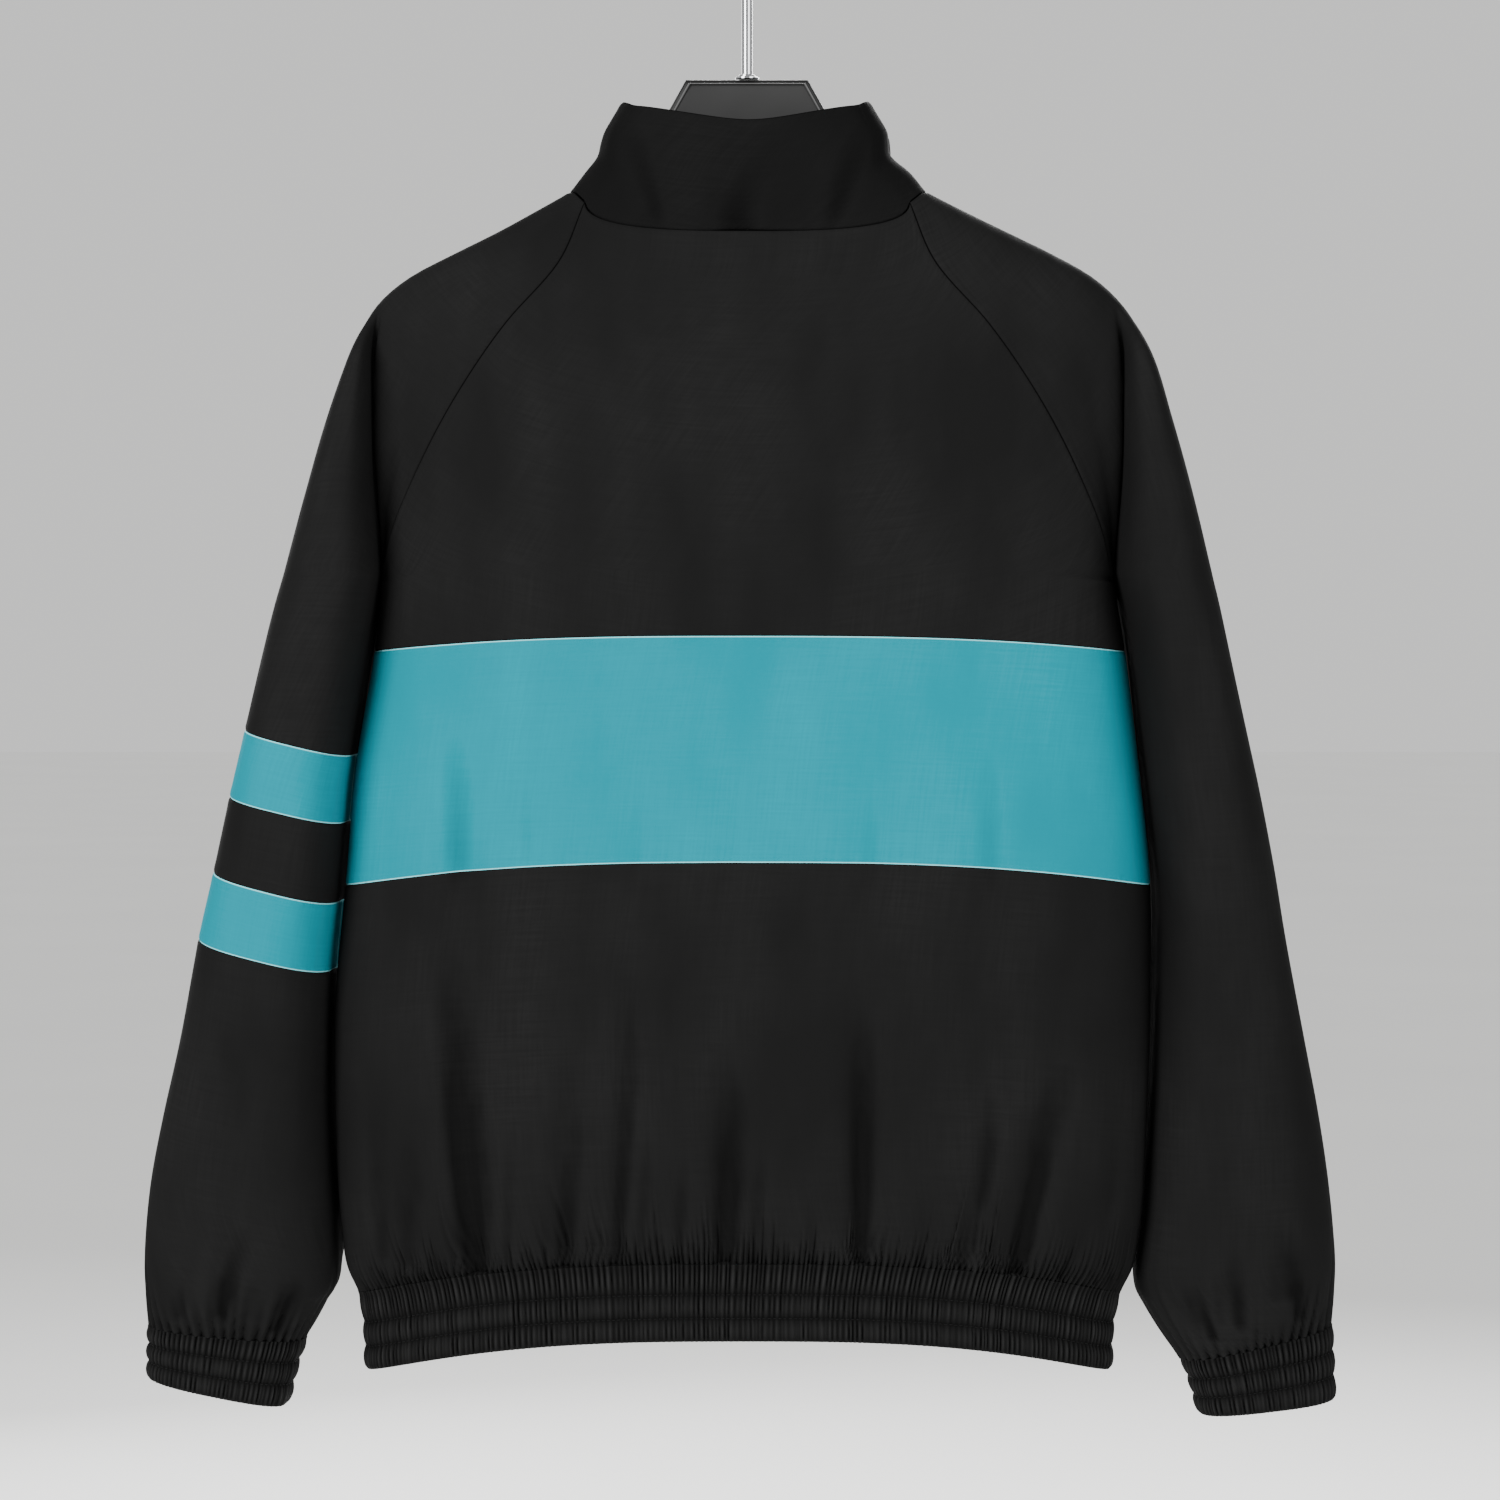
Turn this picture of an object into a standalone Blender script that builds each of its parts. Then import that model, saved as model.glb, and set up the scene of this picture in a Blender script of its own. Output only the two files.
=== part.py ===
"""A men's windbreaker with raglan sleeves, hung on a wide-shouldered hanger.

Metres, +Z up. The origin is the inner crown of the hanger's hook, where a rail carries it.
+X is the wearer's left, and the garment's front faces -Y.
Every piece of cloth is a wall lofted through sections: the torso and the raglan sleeve heads share
one form, so that the pieces on both sides of a seam meet on the same line.
"""
import math

import bpy
import numpy as np
from mathutils import Matrix

# ---------------------------------------------------------------- driving sizes, in metres
WALL = 0.0015                  # thickness of the shell cloth
SEAM_GAP = 0.0003              # room between two pieces at a seam
POWER = 2.8                    # superellipse power of the torso's level sections
SLEEVE_POWER = 2.7             # the same for the hanging sleeve
NECK_SIDE_Z = -0.1895          # top of the neck seam, on the shoulder ridge
UNDERARM_Z = -0.435            # where the side seam and the raglan seams meet
OUTER_LIFT = 0.007             # the sleeve's outer edge lies this much above its underarm
BAND_TOP_Z = -0.4775           # at the side seams
BAND_BOTTOM_Z = -0.6240
HEM_TOP_Z = -0.8788
HEM_ROWS_Z = (-0.8791, -0.8984, -0.9135, -0.9280)   # edges and stitch rows of three channels
FRONT_EDGE = 0.0045            # half the slot that shows the zip's chain
SLEEVE_CLEARANCE = 0.003       # between the body's side and the hanging sleeve

HEAD_ROWS = 10                 # rows of the mesh from the neck seam to the underarm
HEAD_COLUMNS = 5               # columns of a sleeve head from the raglan seam to the valley
HEAD_ROW_POWER = 1.25          # brings the head's rows closer together at the top
VALLEY_SHARE = 0.6             # place of the valley between the raglan seam and the outer edge
LEAST_HEAD_WIDTH = 0.006       # of the sleeve's half beyond the valley
SLEEVE_COLUMNS = 18            # columns round the hanging sleeve
BACK_COLUMNS = 36
FRONT_COLUMNS = 12
COLLAR_COLUMNS = (8, 9, 18, 9, 8)   # over each front, sleeve head and the back
HEM_WAVES = 116
CUFF_WAVES = 30
HEM_INNER_STRIDE = 4             # columns of the gathers to one of the plain inside
CUFF_INNER_STRIDE = 2
WAVE_HEIGHT = 0.0013           # gathers of the elastic stand this far out
CHANNEL_PINCH = 0.0007         # and the stitch rows pull them in by this much
ELASTIC_WALL = 0.0022          # shell and elastic between the troughs and the plain inside


def table(columns, *rows):
    """A short table, as one array for each named column."""
    return {name: np.array(values, float) for name, values in zip(columns.split(), zip(*rows))}


def read(rows, column, at):
    """A column's value at a height (or step), on a smooth curve through the rows."""
    key = "z" if "z" in rows else "t"
    direction = -1.0 if key == "z" else 1.0
    places = rows[key] * direction
    values = rows[column]
    slopes = np.gradient(values, places)
    where = np.clip(np.asarray(at, float) * direction, places[0], places[-1])
    i = np.clip(np.searchsorted(places, where) - 1, 0, len(places) - 2)
    span = places[i + 1] - places[i]
    u = (where - places[i]) / span
    return ((2 * u**3 - 3 * u**2 + 1) * values[i] + (u**3 - 2 * u**2 + u) * span * slopes[i]
            + (3 * u**2 - 2 * u**3) * values[i + 1] + (u**3 - u**2) * span * slopes[i + 1])


# ---------------------------------------------------------------- the form, section by section
# Outermost half-width of the shoulders and sleeves, down to the underarm.
OUTLINE = table(
    "z        left     right",
    (-0.1890, 0.1105, 0.1115),
    (-0.2020, 0.1335, 0.1377),
    (-0.2150, 0.1573, 0.1645),
    (-0.2280, 0.1838, 0.1910),
    (-0.2415, 0.2101, 0.2151),
    (-0.2570, 0.2298, 0.2331),
    (-0.2750, 0.2408, 0.2448),
    (-0.2970, 0.2502, 0.2550),
    (-0.3310, 0.2628, 0.2654),
    (-0.3800, 0.2774, 0.2790),
    (-0.4350, 0.2916, 0.2930),
)
# Half-widths of the body itself, from the hanger's ends to the hem.
BODY = table(
    "z        left     right",
    (-0.1890, 0.2300, 0.2310),
    (-0.3000, 0.2300, 0.2312),
    (-0.3800, 0.2293, 0.2310),
    (-0.4350, 0.2293, 0.2312),
    (-0.4780, 0.2335, 0.2375),
    (-0.5400, 0.2444, 0.2454),
    (-0.6240, 0.2526, 0.2540),
    (-0.7000, 0.2592, 0.2535),
    (-0.7790, 0.2583, 0.2505),
    (-0.8400, 0.2545, 0.2462),
    (-0.8660, 0.2500, 0.2410),
    (-0.8788, 0.2440, 0.2345),
    (-0.9030, 0.2405, 0.2300),
    (-0.9280, 0.2395, 0.2290),
)
# Half-depths of the body, and what the sleeve heads add to its sections: the sleeve's own
# half-depth and how far from the middle plane the valley between body and sleeve reaches.
DEPTH = table(
    "z        back    front   sleeve  valley",
    (-0.1890, 0.0420, 0.0420, 0.0420, 0.0200),
    (-0.2050, 0.0455, 0.0455, 0.0440, 0.0210),
    (-0.2180, 0.0500, 0.0500, 0.0450, 0.0220),
    (-0.2570, 0.0550, 0.0540, 0.0480, 0.0250),
    (-0.2970, 0.0590, 0.0570, 0.0520, 0.0250),
    (-0.3400, 0.0615, 0.0590, 0.0565, 0.0210),
    (-0.3800, 0.0625, 0.0600, 0.0610, 0.0150),
    (-0.4200, 0.0630, 0.0605, 0.0650, 0.0060),
    (-0.4350, 0.0635, 0.0610, 0.0660, 0.0000),
    (-0.4780, 0.0650, 0.0620, 0.0700, 0.0000),
    (-0.6240, 0.0680, 0.0650, 0.0700, 0.0000),
    (-0.7200, 0.0700, 0.0670, 0.0700, 0.0000),
    (-0.8200, 0.0680, 0.0650, 0.0700, 0.0000),
    (-0.8600, 0.0620, 0.0600, 0.0700, 0.0000),
    (-0.8788, 0.0560, 0.0545, 0.0700, 0.0000),
    (-0.9280, 0.0520, 0.0510, 0.0700, 0.0000),
)
BLEND_TOP_Z = -0.2570          # above this the shoulder is one form; below it the sleeve
BLEND_BOTTOM_Z = -0.2970       # head parts from the body, fully from here down

# Raglan seams, from the neck seam down, and the neck seam between them.
BACK_RAGLAN = table(
    "z        x",
    (-0.1983, 0.1010),
    (-0.2364, 0.1163),
    (-0.2743, 0.1489),
    (-0.3193, 0.1800),
    (-0.3691, 0.2069),
    (-0.4083, 0.2235),
    (-0.4350, 0.2293),
)
FRONT_RAGLAN = table(
    "z        x",
    (-0.2170, 0.0870),
    (-0.2480, 0.1060),
    (-0.2820, 0.1380),
    (-0.3240, 0.1720),
    (-0.3710, 0.2020),
    (-0.4090, 0.2220),
    (-0.4350, 0.2293),
)
BACK_NECK_Z = -0.2174          # middle of the neck seam, back and front
FRONT_NECK_Z = -0.2380

# How far each level line of the torso rises from the side seams to the middle.
LEVELS = table(
    "z        back    front",
    (-0.4350, 0.0080, 0.0040),
    (-0.4775, 0.0100, 0.0050),
    (-0.6240, 0.0175, 0.0080),
    (-0.8788, 0.0258, 0.0100),
    (-0.9280, 0.0252, 0.0100),
)

# Hanging sleeves, a row for each section from the underarm to the cuff: the outer and inner
# ends of the section, its half-depth and how far it hangs forward.
LEFT_SLEEVE = table(
    "outer_x  outer_z  inner_x  inner_z half_depth forward",
    (0.2900, -0.4280, 0.2293, -0.4350, 0.0660, 0.000),
    (0.2980, -0.4580, 0.2360, -0.4706, 0.0700, 0.002),
    (0.3143, -0.5261, 0.2477, -0.5427, 0.0740, 0.006),
    (0.3246, -0.5676, 0.2522, -0.5853, 0.0740, 0.008),
    (0.3355, -0.6149, 0.2565, -0.6350, 0.0720, 0.010),
    (0.3452, -0.6571, 0.2608, -0.6782, 0.0700, 0.011),
    (0.3568, -0.7195, 0.2625, -0.7450, 0.0660, 0.012),
    (0.3670, -0.7680, 0.2608, -0.7940, 0.0620, 0.012),
    (0.3752, -0.8127, 0.2582, -0.8350, 0.0570, 0.012),
    (0.3790, -0.8549, 0.2580, -0.8719, 0.0500, 0.010),
    (0.3783, -0.8801, 0.2665, -0.8883, 0.0410, 0.008),
    (0.3765, -0.9015, 0.2791, -0.9103, 0.0300, 0.006),
)
RIGHT_SLEEVE = table(
    "outer_x  outer_z  inner_x  inner_z half_depth forward",
    (0.2915, -0.4280, 0.2312, -0.4350, 0.0660, 0.000),
    (0.2985, -0.4580, 0.2400, -0.4680, 0.0700, 0.002),
    (0.3132, -0.5261, 0.2480, -0.5370, 0.0740, 0.006),
    (0.3222, -0.5676, 0.2527, -0.5790, 0.0740, 0.008),
    (0.3315, -0.6149, 0.2575, -0.6270, 0.0720, 0.010),
    (0.3388, -0.6571, 0.2575, -0.6700, 0.0700, 0.011),
    (0.3508, -0.7195, 0.2558, -0.7330, 0.0660, 0.012),
    (0.3600, -0.7680, 0.2532, -0.7830, 0.0620, 0.012),
    (0.3668, -0.8127, 0.2500, -0.8290, 0.0570, 0.012),
    (0.3708, -0.8549, 0.2450, -0.8719, 0.0500, 0.010),
    (0.3702, -0.8801, 0.2533, -0.8925, 0.0410, 0.008),
    (0.3682, -0.9015, 0.2747, -0.9230, 0.0300, 0.006),
)
LEFT_CUFF = table(
    "outer_x  outer_z  inner_x  inner_z half_depth forward",
    (0.3765, -0.9018, 0.2791, -0.9106, 0.0300, 0.006),
    (0.3768, -0.9128, 0.2834, -0.9246, 0.0285, 0.006),
    (0.3772, -0.9240, 0.2870, -0.9386, 0.0275, 0.006),
    (0.3776, -0.9350, 0.2906, -0.9528, 0.0265, 0.006),
)
RIGHT_CUFF = table(
    "outer_x  outer_z  inner_x  inner_z half_depth forward",
    (0.3682, -0.9018, 0.2747, -0.9233, 0.0300, 0.006),
    (0.3690, -0.9172, 0.2790, -0.9350, 0.0285, 0.006),
    (0.3697, -0.9327, 0.2825, -0.9466, 0.0275, 0.006),
    (0.3704, -0.9482, 0.2854, -0.9582, 0.0265, 0.006),
)
STRIPE_ROWS = (2, 3, 4, 5)     # rows of LEFT_SLEEVE where the two stripes start and end

# Collar, from the neck seam (t = 0) to its top edge: scales of the neck seam's loop.
COLLAR = table(
    "t     left   right  back   front",
    (0.00, 1.000, 1.000, 1.00, 1.00),
    (0.22, 0.915, 0.910, 1.04, 1.00),
    (0.40, 0.845, 0.808, 1.06, 1.00),
    (0.55, 0.826, 0.795, 1.06, 1.00),
    (0.66, 0.806, 0.786, 1.05, 1.00),
    (0.82, 0.745, 0.727, 1.03, 1.00),
    (1.00, 0.686, 0.668, 1.00, 1.00),
)
COLLAR_ROWS = (0.0, 0.22, 0.42, 0.66, 1.0)
COLLAR_LIFT = 0.0006           # room between the neck edges and the collar's lower edge
COLLAR_SIDE_Z = -0.1370        # heights of the collar's top edge
COLLAR_BACK_Z = -0.1485
COLLAR_FRONT_Z = -0.1680

# Largest folds of the torso: soft troughs, each on a line from its top through a middle to
# the hem. Back folds are the photo's; the front ones are like them.
BACK_FOLDS = table(
    "x_top   z_top   x_mid   z_mid    x_low   z_low   depth   half_width",
    (0.2080, -0.745, 0.2095, -0.800, 0.2107, -0.850, 0.0025, 0.018),
    (0.1790, -0.480, 0.1755, -0.700, 0.1660, -0.852, 0.0060, 0.017),
    (0.0961, -0.680, 0.1078, -0.790, 0.1115, -0.852, 0.0040, 0.014),
    (0.0686, -0.610, 0.0740, -0.740, 0.0876, -0.852, 0.0045, 0.014),
    (0.0104, -0.700, 0.0122, -0.770, 0.0171, -0.852, 0.0050, 0.014),
    (-0.0723, -0.650, -0.0710, -0.760, -0.0698, -0.852, 0.0060, 0.013),
    (-0.1427, -0.720, -0.1494, -0.770, -0.1286, -0.852, 0.0045, 0.015),
    (-0.2039, -0.715, -0.1837, -0.765, -0.1611, -0.852, 0.0050, 0.017),
)
FRONT_FOLDS = table(
    "x_top   z_top   x_mid   z_mid    x_low   z_low   depth   half_width",
    (0.1900, -0.500, 0.1840, -0.700, 0.1720, -0.864, 0.0055, 0.018),
    (0.1250, -0.690, 0.1300, -0.780, 0.1330, -0.866, 0.0040, 0.015),
    (0.0600, -0.640, 0.0680, -0.760, 0.0780, -0.868, 0.0050, 0.015),
    (-0.0520, -0.660, -0.0600, -0.760, -0.0680, -0.868, 0.0045, 0.015),
    (-0.1180, -0.700, -0.1250, -0.780, -0.1200, -0.866, 0.0040, 0.015),
    (-0.1850, -0.620, -0.1800, -0.740, -0.1700, -0.864, 0.0055, 0.018),
)
FOLD_FADE = 0.65               # share of a fold's length over which it deepens from nothing
FOLD_END = 0.0140              # and it flattens over this height above the hem
FOLD_SHARPNESS = 1.2           # of the trough's bell shape across the fold
FOLD_SIDE_DEPTH = 0.020        # folds fade where the cloth lies this close to the middle plane

# Hanger: sections from its middle to the end of an arm, as top and bottom edge and half-depth.
HANGER = table(
    "x       top      bottom   half_depth",
    (0.0000, -0.1180, -0.1720, 0.0070),
    (0.0385, -0.1180, -0.1740, 0.0070),
    (0.0490, -0.1370, -0.1770, 0.0075),
    (0.0640, -0.1620, -0.1880, 0.0085),
    (0.0850, -0.1810, -0.2060, 0.0100),
    (0.1100, -0.1950, -0.2190, 0.0120),
    (0.1500, -0.2165, -0.2410, 0.0150),
    (0.1850, -0.2350, -0.2580, 0.0165),
    (0.2050, -0.2470, -0.2680, 0.0160),
    (0.2150, -0.2560, -0.2690, 0.0110),
)
HANGER_SIDES = 10              # points round a section of the hanger
HOOK_RADIUS = 0.0035           # of the rod
HOOK_BEND = 0.0200             # inner radius of the hook's arc, whose crown is the origin
HOOK_SHANK_TOP_Z = -0.0640
HOOK_EASE = 0.6                # how far the bend keeps its direction at both ends
HOOK_START = -50.0             # the arc's ends, in degrees round its middle
HOOK_END = 205.0
FERRULE_RADIUS = 0.0075
FERRULE_HEIGHT = 0.0030
HANGER_POWER = 4               # superellipse power of its sections

# Zip, closed to the top of the collar.
CHAIN_HALF_WIDTH = 0.0036
CHAIN_THICKNESS = 0.0022
TAPE_INNER_X = 0.0043
TAPE_WIDTH = 0.0120
TAPE_THICKNESS = 0.0010
SLIDER_SIZE = (0.0080, 0.0052, 0.0120)
SLIDER_ROUNDING = 0.0008
SLIDER_FACE = 0.0014           # the slider's face stands this far out from the cloth
SLIDER_DROP = 0.0030           # from the collar's top edge to the slider's top
BAIL_RADIUS = 0.0034           # arch that holds the pull tab, to the middle of its wire
BAIL_WIRE = 0.0006
TAB_PIVOT_OUT = 0.0014         # the tab's axis, in front of the slider's face
TAB_SIZE = (0.0076, 0.0012, 0.0240)
TAB_ROUNDING = 0.0004
TAB_BAR = 0.0016               # height of the bar that turns under the bail
TAB_HOLE = (0.0032, 0.0042)    # width and height of the hole below the bar
BOX_SIZE = (0.0080, 0.0044, 0.0090)
BOX_ROUNDING = 0.0006
BOX_FACE = 0.0006              # the box's face stands this far out from the cloth
END_ROOM = 0.0003              # between the chain's ends and the slider or the box

PARTS = "windbreaker"
CUTTERS = "cutters"
SHARP_ANGLE = math.radians(40)

# name: colour (linear), roughness, metallic
FINISHES = {
    "black_cloth": ((0.0152, 0.0152, 0.0160), 0.72, 0.0),
    "teal_cloth": ((0.0560, 0.3950, 0.4620), 0.70, 0.0),
    "zip_tape": ((0.0110, 0.0110, 0.0115), 0.80, 0.0),
    "zip_plastic": ((0.0140, 0.0140, 0.0145), 0.40, 0.0),
    "hanger_plastic": ((0.0300, 0.0300, 0.0320), 0.45, 0.0),
    "chrome": ((0.6200, 0.6200, 0.6300), 0.18, 1.0),
}


# ---------------------------------------------------------------- scene helpers
def clear_scene():
    for item in list(bpy.data.objects):
        bpy.data.objects.remove(item)


def collection(name):
    found = bpy.data.collections.get(name)
    if found is None:
        found = bpy.data.collections.new(name)
        bpy.context.scene.collection.children.link(found)
    return found


def finish(node, kind):
    """A Principled material of its own for a node."""
    colour, roughness, metallic = FINISHES[kind]
    material = bpy.data.materials.new(f"{node}_{kind}")
    material.use_nodes = True
    shader = material.node_tree.nodes["Principled BSDF"]
    shader.inputs["Base Color"].default_value = (*colour, 1.0)
    shader.inputs["Roughness"].default_value = roughness
    shader.inputs["Metallic"].default_value = metallic
    material.diffuse_color = (*colour, 1.0)
    return material


def place(mesh, name, kind, smooth=True):
    """An object in the parts collection."""
    item = bpy.data.objects.new(name, mesh)
    collection(PARTS).objects.link(item)
    mesh.materials.append(finish(name, kind))
    if smooth:
        mesh.shade_smooth()
        mesh.set_sharp_from_angle(angle=SHARP_ANGLE)
    return item


def move_to_cutters(item):
    for home in list(item.users_collection):
        home.objects.unlink(item)
    collection(CUTTERS).objects.link(item)
    item.hide_render = True
    item.display_type = "WIRE"


def adopt(item, name, kind):
    """Take an object that an operator has just made into the parts collection."""
    for home in list(item.users_collection):
        home.objects.unlink(item)
    collection(PARTS).objects.link(item)
    item.name = name
    item.data.name = name
    item.data.materials.clear()
    item.data.materials.append(finish(name, kind))
    item.data.shade_smooth()
    item.data.set_sharp_from_angle(angle=SHARP_ANGLE)
    return item


# ---------------------------------------------------------------- curves on the form
def smoothstep(value):
    value = np.clip(value, 0.0, 1.0)
    return value * value * (3 - 2 * value)


def angle_at_x(x, half_width):
    return np.arccos(np.clip(x / half_width, 0.0, 1.0) ** (POWER / 2))


def angle_at_y(y, half_depth):
    return np.arcsin(np.clip(y / half_depth, 0.0, 1.0) ** (POWER / 2))


def on_section(angle, half_width, half_depth, power=POWER):
    """A point of a superellipse, as x and y."""
    x = half_width * np.sign(np.cos(angle)) * np.abs(np.cos(angle)) ** (2 / power)
    y = half_depth * np.sign(np.sin(angle)) * np.abs(np.sin(angle)) ** (2 / power)
    return x, y


def resample(points, fractions):
    """Points at given shares of a line's length."""
    steps = np.linalg.norm(np.diff(points, axis=0), axis=1)
    run = np.concatenate([[0.0], np.cumsum(steps)])
    if run[-1] < 1e-9:
        return np.repeat(points[:1], len(fractions), axis=0)
    places = np.asarray(fractions) * run[-1]
    return np.stack([np.interp(places, run, points[:, k]) for k in range(3)], axis=1)


def even(count):
    return np.linspace(0.0, 1.0, count + 1)


def side_weighted(count, fine_columns=4, share=0.5):
    """Column places that are closer together near both ends, where the body turns."""
    weights = np.ones(count)
    weights[:fine_columns] = share
    weights[-fine_columns:] = share
    return np.concatenate([[0.0], np.cumsum(weights)]) / weights.sum()


def apart(z):
    """0 where shoulder and sleeve head are one form, 1 where the head has parted from the body."""
    return smoothstep((BLEND_TOP_Z - z) / (BLEND_TOP_Z - BLEND_BOTTOM_Z))


def seam_height(face, t):
    """Height on a raglan seam, from the neck seam (t = 0) to the underarm (t = 1)."""
    top = (BACK_RAGLAN if face == "back" else FRONT_RAGLAN)["z"][0]
    return top + (UNDERARM_Z - top) * t


def seam_x(face, t):
    rows = BACK_RAGLAN if face == "back" else FRONT_RAGLAN
    return read(rows, "x", seam_height(face, t))


def head_step(k):
    """Rows of a sleeve head lie closer together at the top, where the shoulder slopes."""
    return (k / HEAD_ROWS) ** HEAD_ROW_POWER


def body_width(side, face, z):
    """Half-width of the body's own section, which has the table's width down in the valley."""
    share = read(DEPTH, "valley", z) / read(DEPTH, face, z)
    return read(BODY, side, z) / (1 - share**POWER) ** (1 / POWER)


def body_point(angle_joined, angle_apart, z, side, face):
    """A point of the torso at height z, where the two forms of its section are blended."""
    share = apart(z)
    depth = read(DEPTH, face, z)
    joined_x, joined_y = on_section(angle_joined, read(OUTLINE, side, z), depth)
    apart_x, apart_y = on_section(angle_apart, body_width(side, face, z), depth)
    return joined_x * (1 - share) + apart_x * share, joined_y * (1 - share) + apart_y * share


def head_half(side, face, t):
    """Half a row of a sleeve head, from the raglan seam to the valley and on to the outer edge."""
    seam_z = float(seam_height(face, t))
    outer_z = NECK_SIDE_Z + (UNDERARM_Z + OUTER_LIFT - NECK_SIDE_Z) * t
    start_x = float(seam_x(face, t))
    near = np.linspace(0.0, VALLEY_SHARE, 30)
    far = np.linspace(VALLEY_SHARE, 1.0, 40)
    near_z = outer_z + (seam_z - outer_z) * (1 - near) ** 2
    far_z = outer_z + (seam_z - outer_z) * (1 - far) ** 2
    valley_z = near_z[-1]
    outline = float(read(OUTLINE, side, valley_z))
    body = float(read(BODY, side, valley_z))
    head_width = min(max(outline - body, LEAST_HEAD_WIDTH), (outline - start_x) / 2)
    near_share = near / VALLEY_SHARE
    far_share = (far - VALLEY_SHARE) / (1 - VALLEY_SHARE)

    # one form: the section of the whole shoulder
    from_angle = angle_at_x(start_x, read(OUTLINE, side, seam_z))
    mid_angle = angle_at_x(outline - head_width, outline)
    near_joined = from_angle + (mid_angle - from_angle) * near_share
    far_joined = mid_angle * (1 - far_share)
    # two forms: the body's own section down to the valley, then the sleeve's
    valley_y = float(read(DEPTH, "valley", valley_z))
    body_depth = float(read(DEPTH, face, valley_z))
    from_apart = angle_at_x(start_x, body_width(side, face, seam_z))
    valley_angle = min(angle_at_y(valley_y, body_depth), from_apart)
    near_apart = from_apart + (valley_angle - from_apart) * near_share
    near_x, near_y = body_point(near_joined, near_apart, near_z, side, face)

    share = apart(far_z)
    joined_x, joined_y = on_section(far_joined, read(OUTLINE, side, far_z), read(DEPTH, face, far_z))
    outer = read(OUTLINE, side, far_z)
    inner = read(BODY, side, far_z) + SLEEVE_CLEARANCE * min(1.0, (1 - t) * 4)
    half_width = np.maximum(outer - inner, 0.002) / 2
    sleeve_depth = read(DEPTH, "sleeve", far_z)
    start_angle = math.pi - np.arcsin(np.clip(valley_y / sleeve_depth[0], 0, 1) ** (SLEEVE_POWER / 2))
    sleeve_angle = start_angle * (1 - far_share)
    sleeve_x, sleeve_y = on_section(sleeve_angle, half_width, sleeve_depth, SLEEVE_POWER)
    far_x = joined_x * (1 - share) + (outer - half_width + sleeve_x) * share
    far_y = joined_y * (1 - share) + sleeve_y * share

    # both stretches end in the valley's bottom, half-way between their walls
    bottom = np.array([(near_x[-1] + far_x[0]) / 2, (near_y[-1] + far_y[0]) / 2])
    near_x[-1], near_y[-1] = bottom
    far_x[0], far_y[0] = bottom
    sign = 1.0 if side == "left" else -1.0
    out = 1.0 if face == "back" else -1.0
    near_points = np.stack([near_x * sign, near_y * out, near_z], axis=1)
    far_points = np.stack([far_x * sign, far_y * out, far_z], axis=1)
    return near_points, far_points


def head_row(side, k):
    """A whole row of a sleeve head, from its front raglan seam over the arm to the back one."""
    t = head_step(k)
    halves = []
    for face in ("front", "back"):
        near, far = head_half(side, face, t)
        near = resample(near, even(HEAD_COLUMNS))
        far = resample(far, even(SLEEVE_COLUMNS // 2))
        halves.append(np.concatenate([near, far[1:]]))
    if k == HEAD_ROWS:
        underarm = underarm_point(side)
        for half in halves:
            half[:HEAD_COLUMNS + 1] = underarm
    return np.concatenate([halves[0], halves[1][::-1][1:]])


def underarm_point(side):
    sign = 1.0 if side == "left" else -1.0
    return np.array([sign * read(BODY, side, UNDERARM_Z), 0.0, UNDERARM_Z])


def seam_point(side, face, k):
    """The point of a raglan seam that the head and the body panel share."""
    row = head_row(side, k)
    return row[-1] if face == "back" else row[0]


# ---------------------------------------------------------------- torso
def torso_levels():
    """Side heights of the rows below the underarm, with the rows where seams lie."""
    upper = list(np.linspace(UNDERARM_Z, BAND_TOP_Z, 3))
    band = list(np.linspace(BAND_TOP_Z, BAND_BOTTOM_Z, 5))
    lower = list(np.linspace(BAND_BOTTOM_Z, HEM_TOP_Z, 10))
    return upper, band, lower


def folded(points, face, side_z):
    """A level line of the torso with the large folds pressed in, towards the middle plane."""
    rows = BACK_FOLDS if face == "back" else FRONT_FOLDS
    inward = -1.0 if face == "back" else 1.0
    z = points[:, 2]
    press = np.zeros(len(points))
    for i in range(len(rows["depth"])):
        heights = [rows["z_top"][i], rows["z_mid"][i], rows["z_low"][i]]
        places = [rows["x_top"][i], rows["x_mid"][i], rows["x_low"][i]]
        centre = np.polyval(np.polyfit(heights, places, 2), np.clip(z, heights[2], heights[0]))
        along = (heights[0] - z) / (heights[0] - heights[2])
        fade = smoothstep(along / FOLD_FADE)
        across = np.abs(points[:, 0] - centre) / rows["half_width"][i]
        press += rows["depth"][i] * fade * np.exp(-across**2 * FOLD_SHARPNESS)
    moved = points.copy()
    from_side = smoothstep(np.abs(points[:, 1]) / FOLD_SIDE_DEPTH)
    from_hem = smoothstep((side_z - HEM_TOP_Z) / FOLD_END)
    moved[:, 1] += inward * press * from_side * from_hem
    return moved


def level_line(face, side_z):
    """A level section of the torso's front or back, from the left side to the right one."""
    angle = np.linspace(0.0, math.pi, 241)
    z = side_z + float(read(LEVELS, face, side_z)) * np.sin(angle) ** 2
    half_width = np.where(angle <= math.pi / 2, read(BODY, "left", z), read(BODY, "right", z))
    x, y = on_section(angle, half_width, read(DEPTH, face, z))
    out = 1.0 if face == "back" else -1.0
    return np.stack([x, y * out, z], axis=1)


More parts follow.
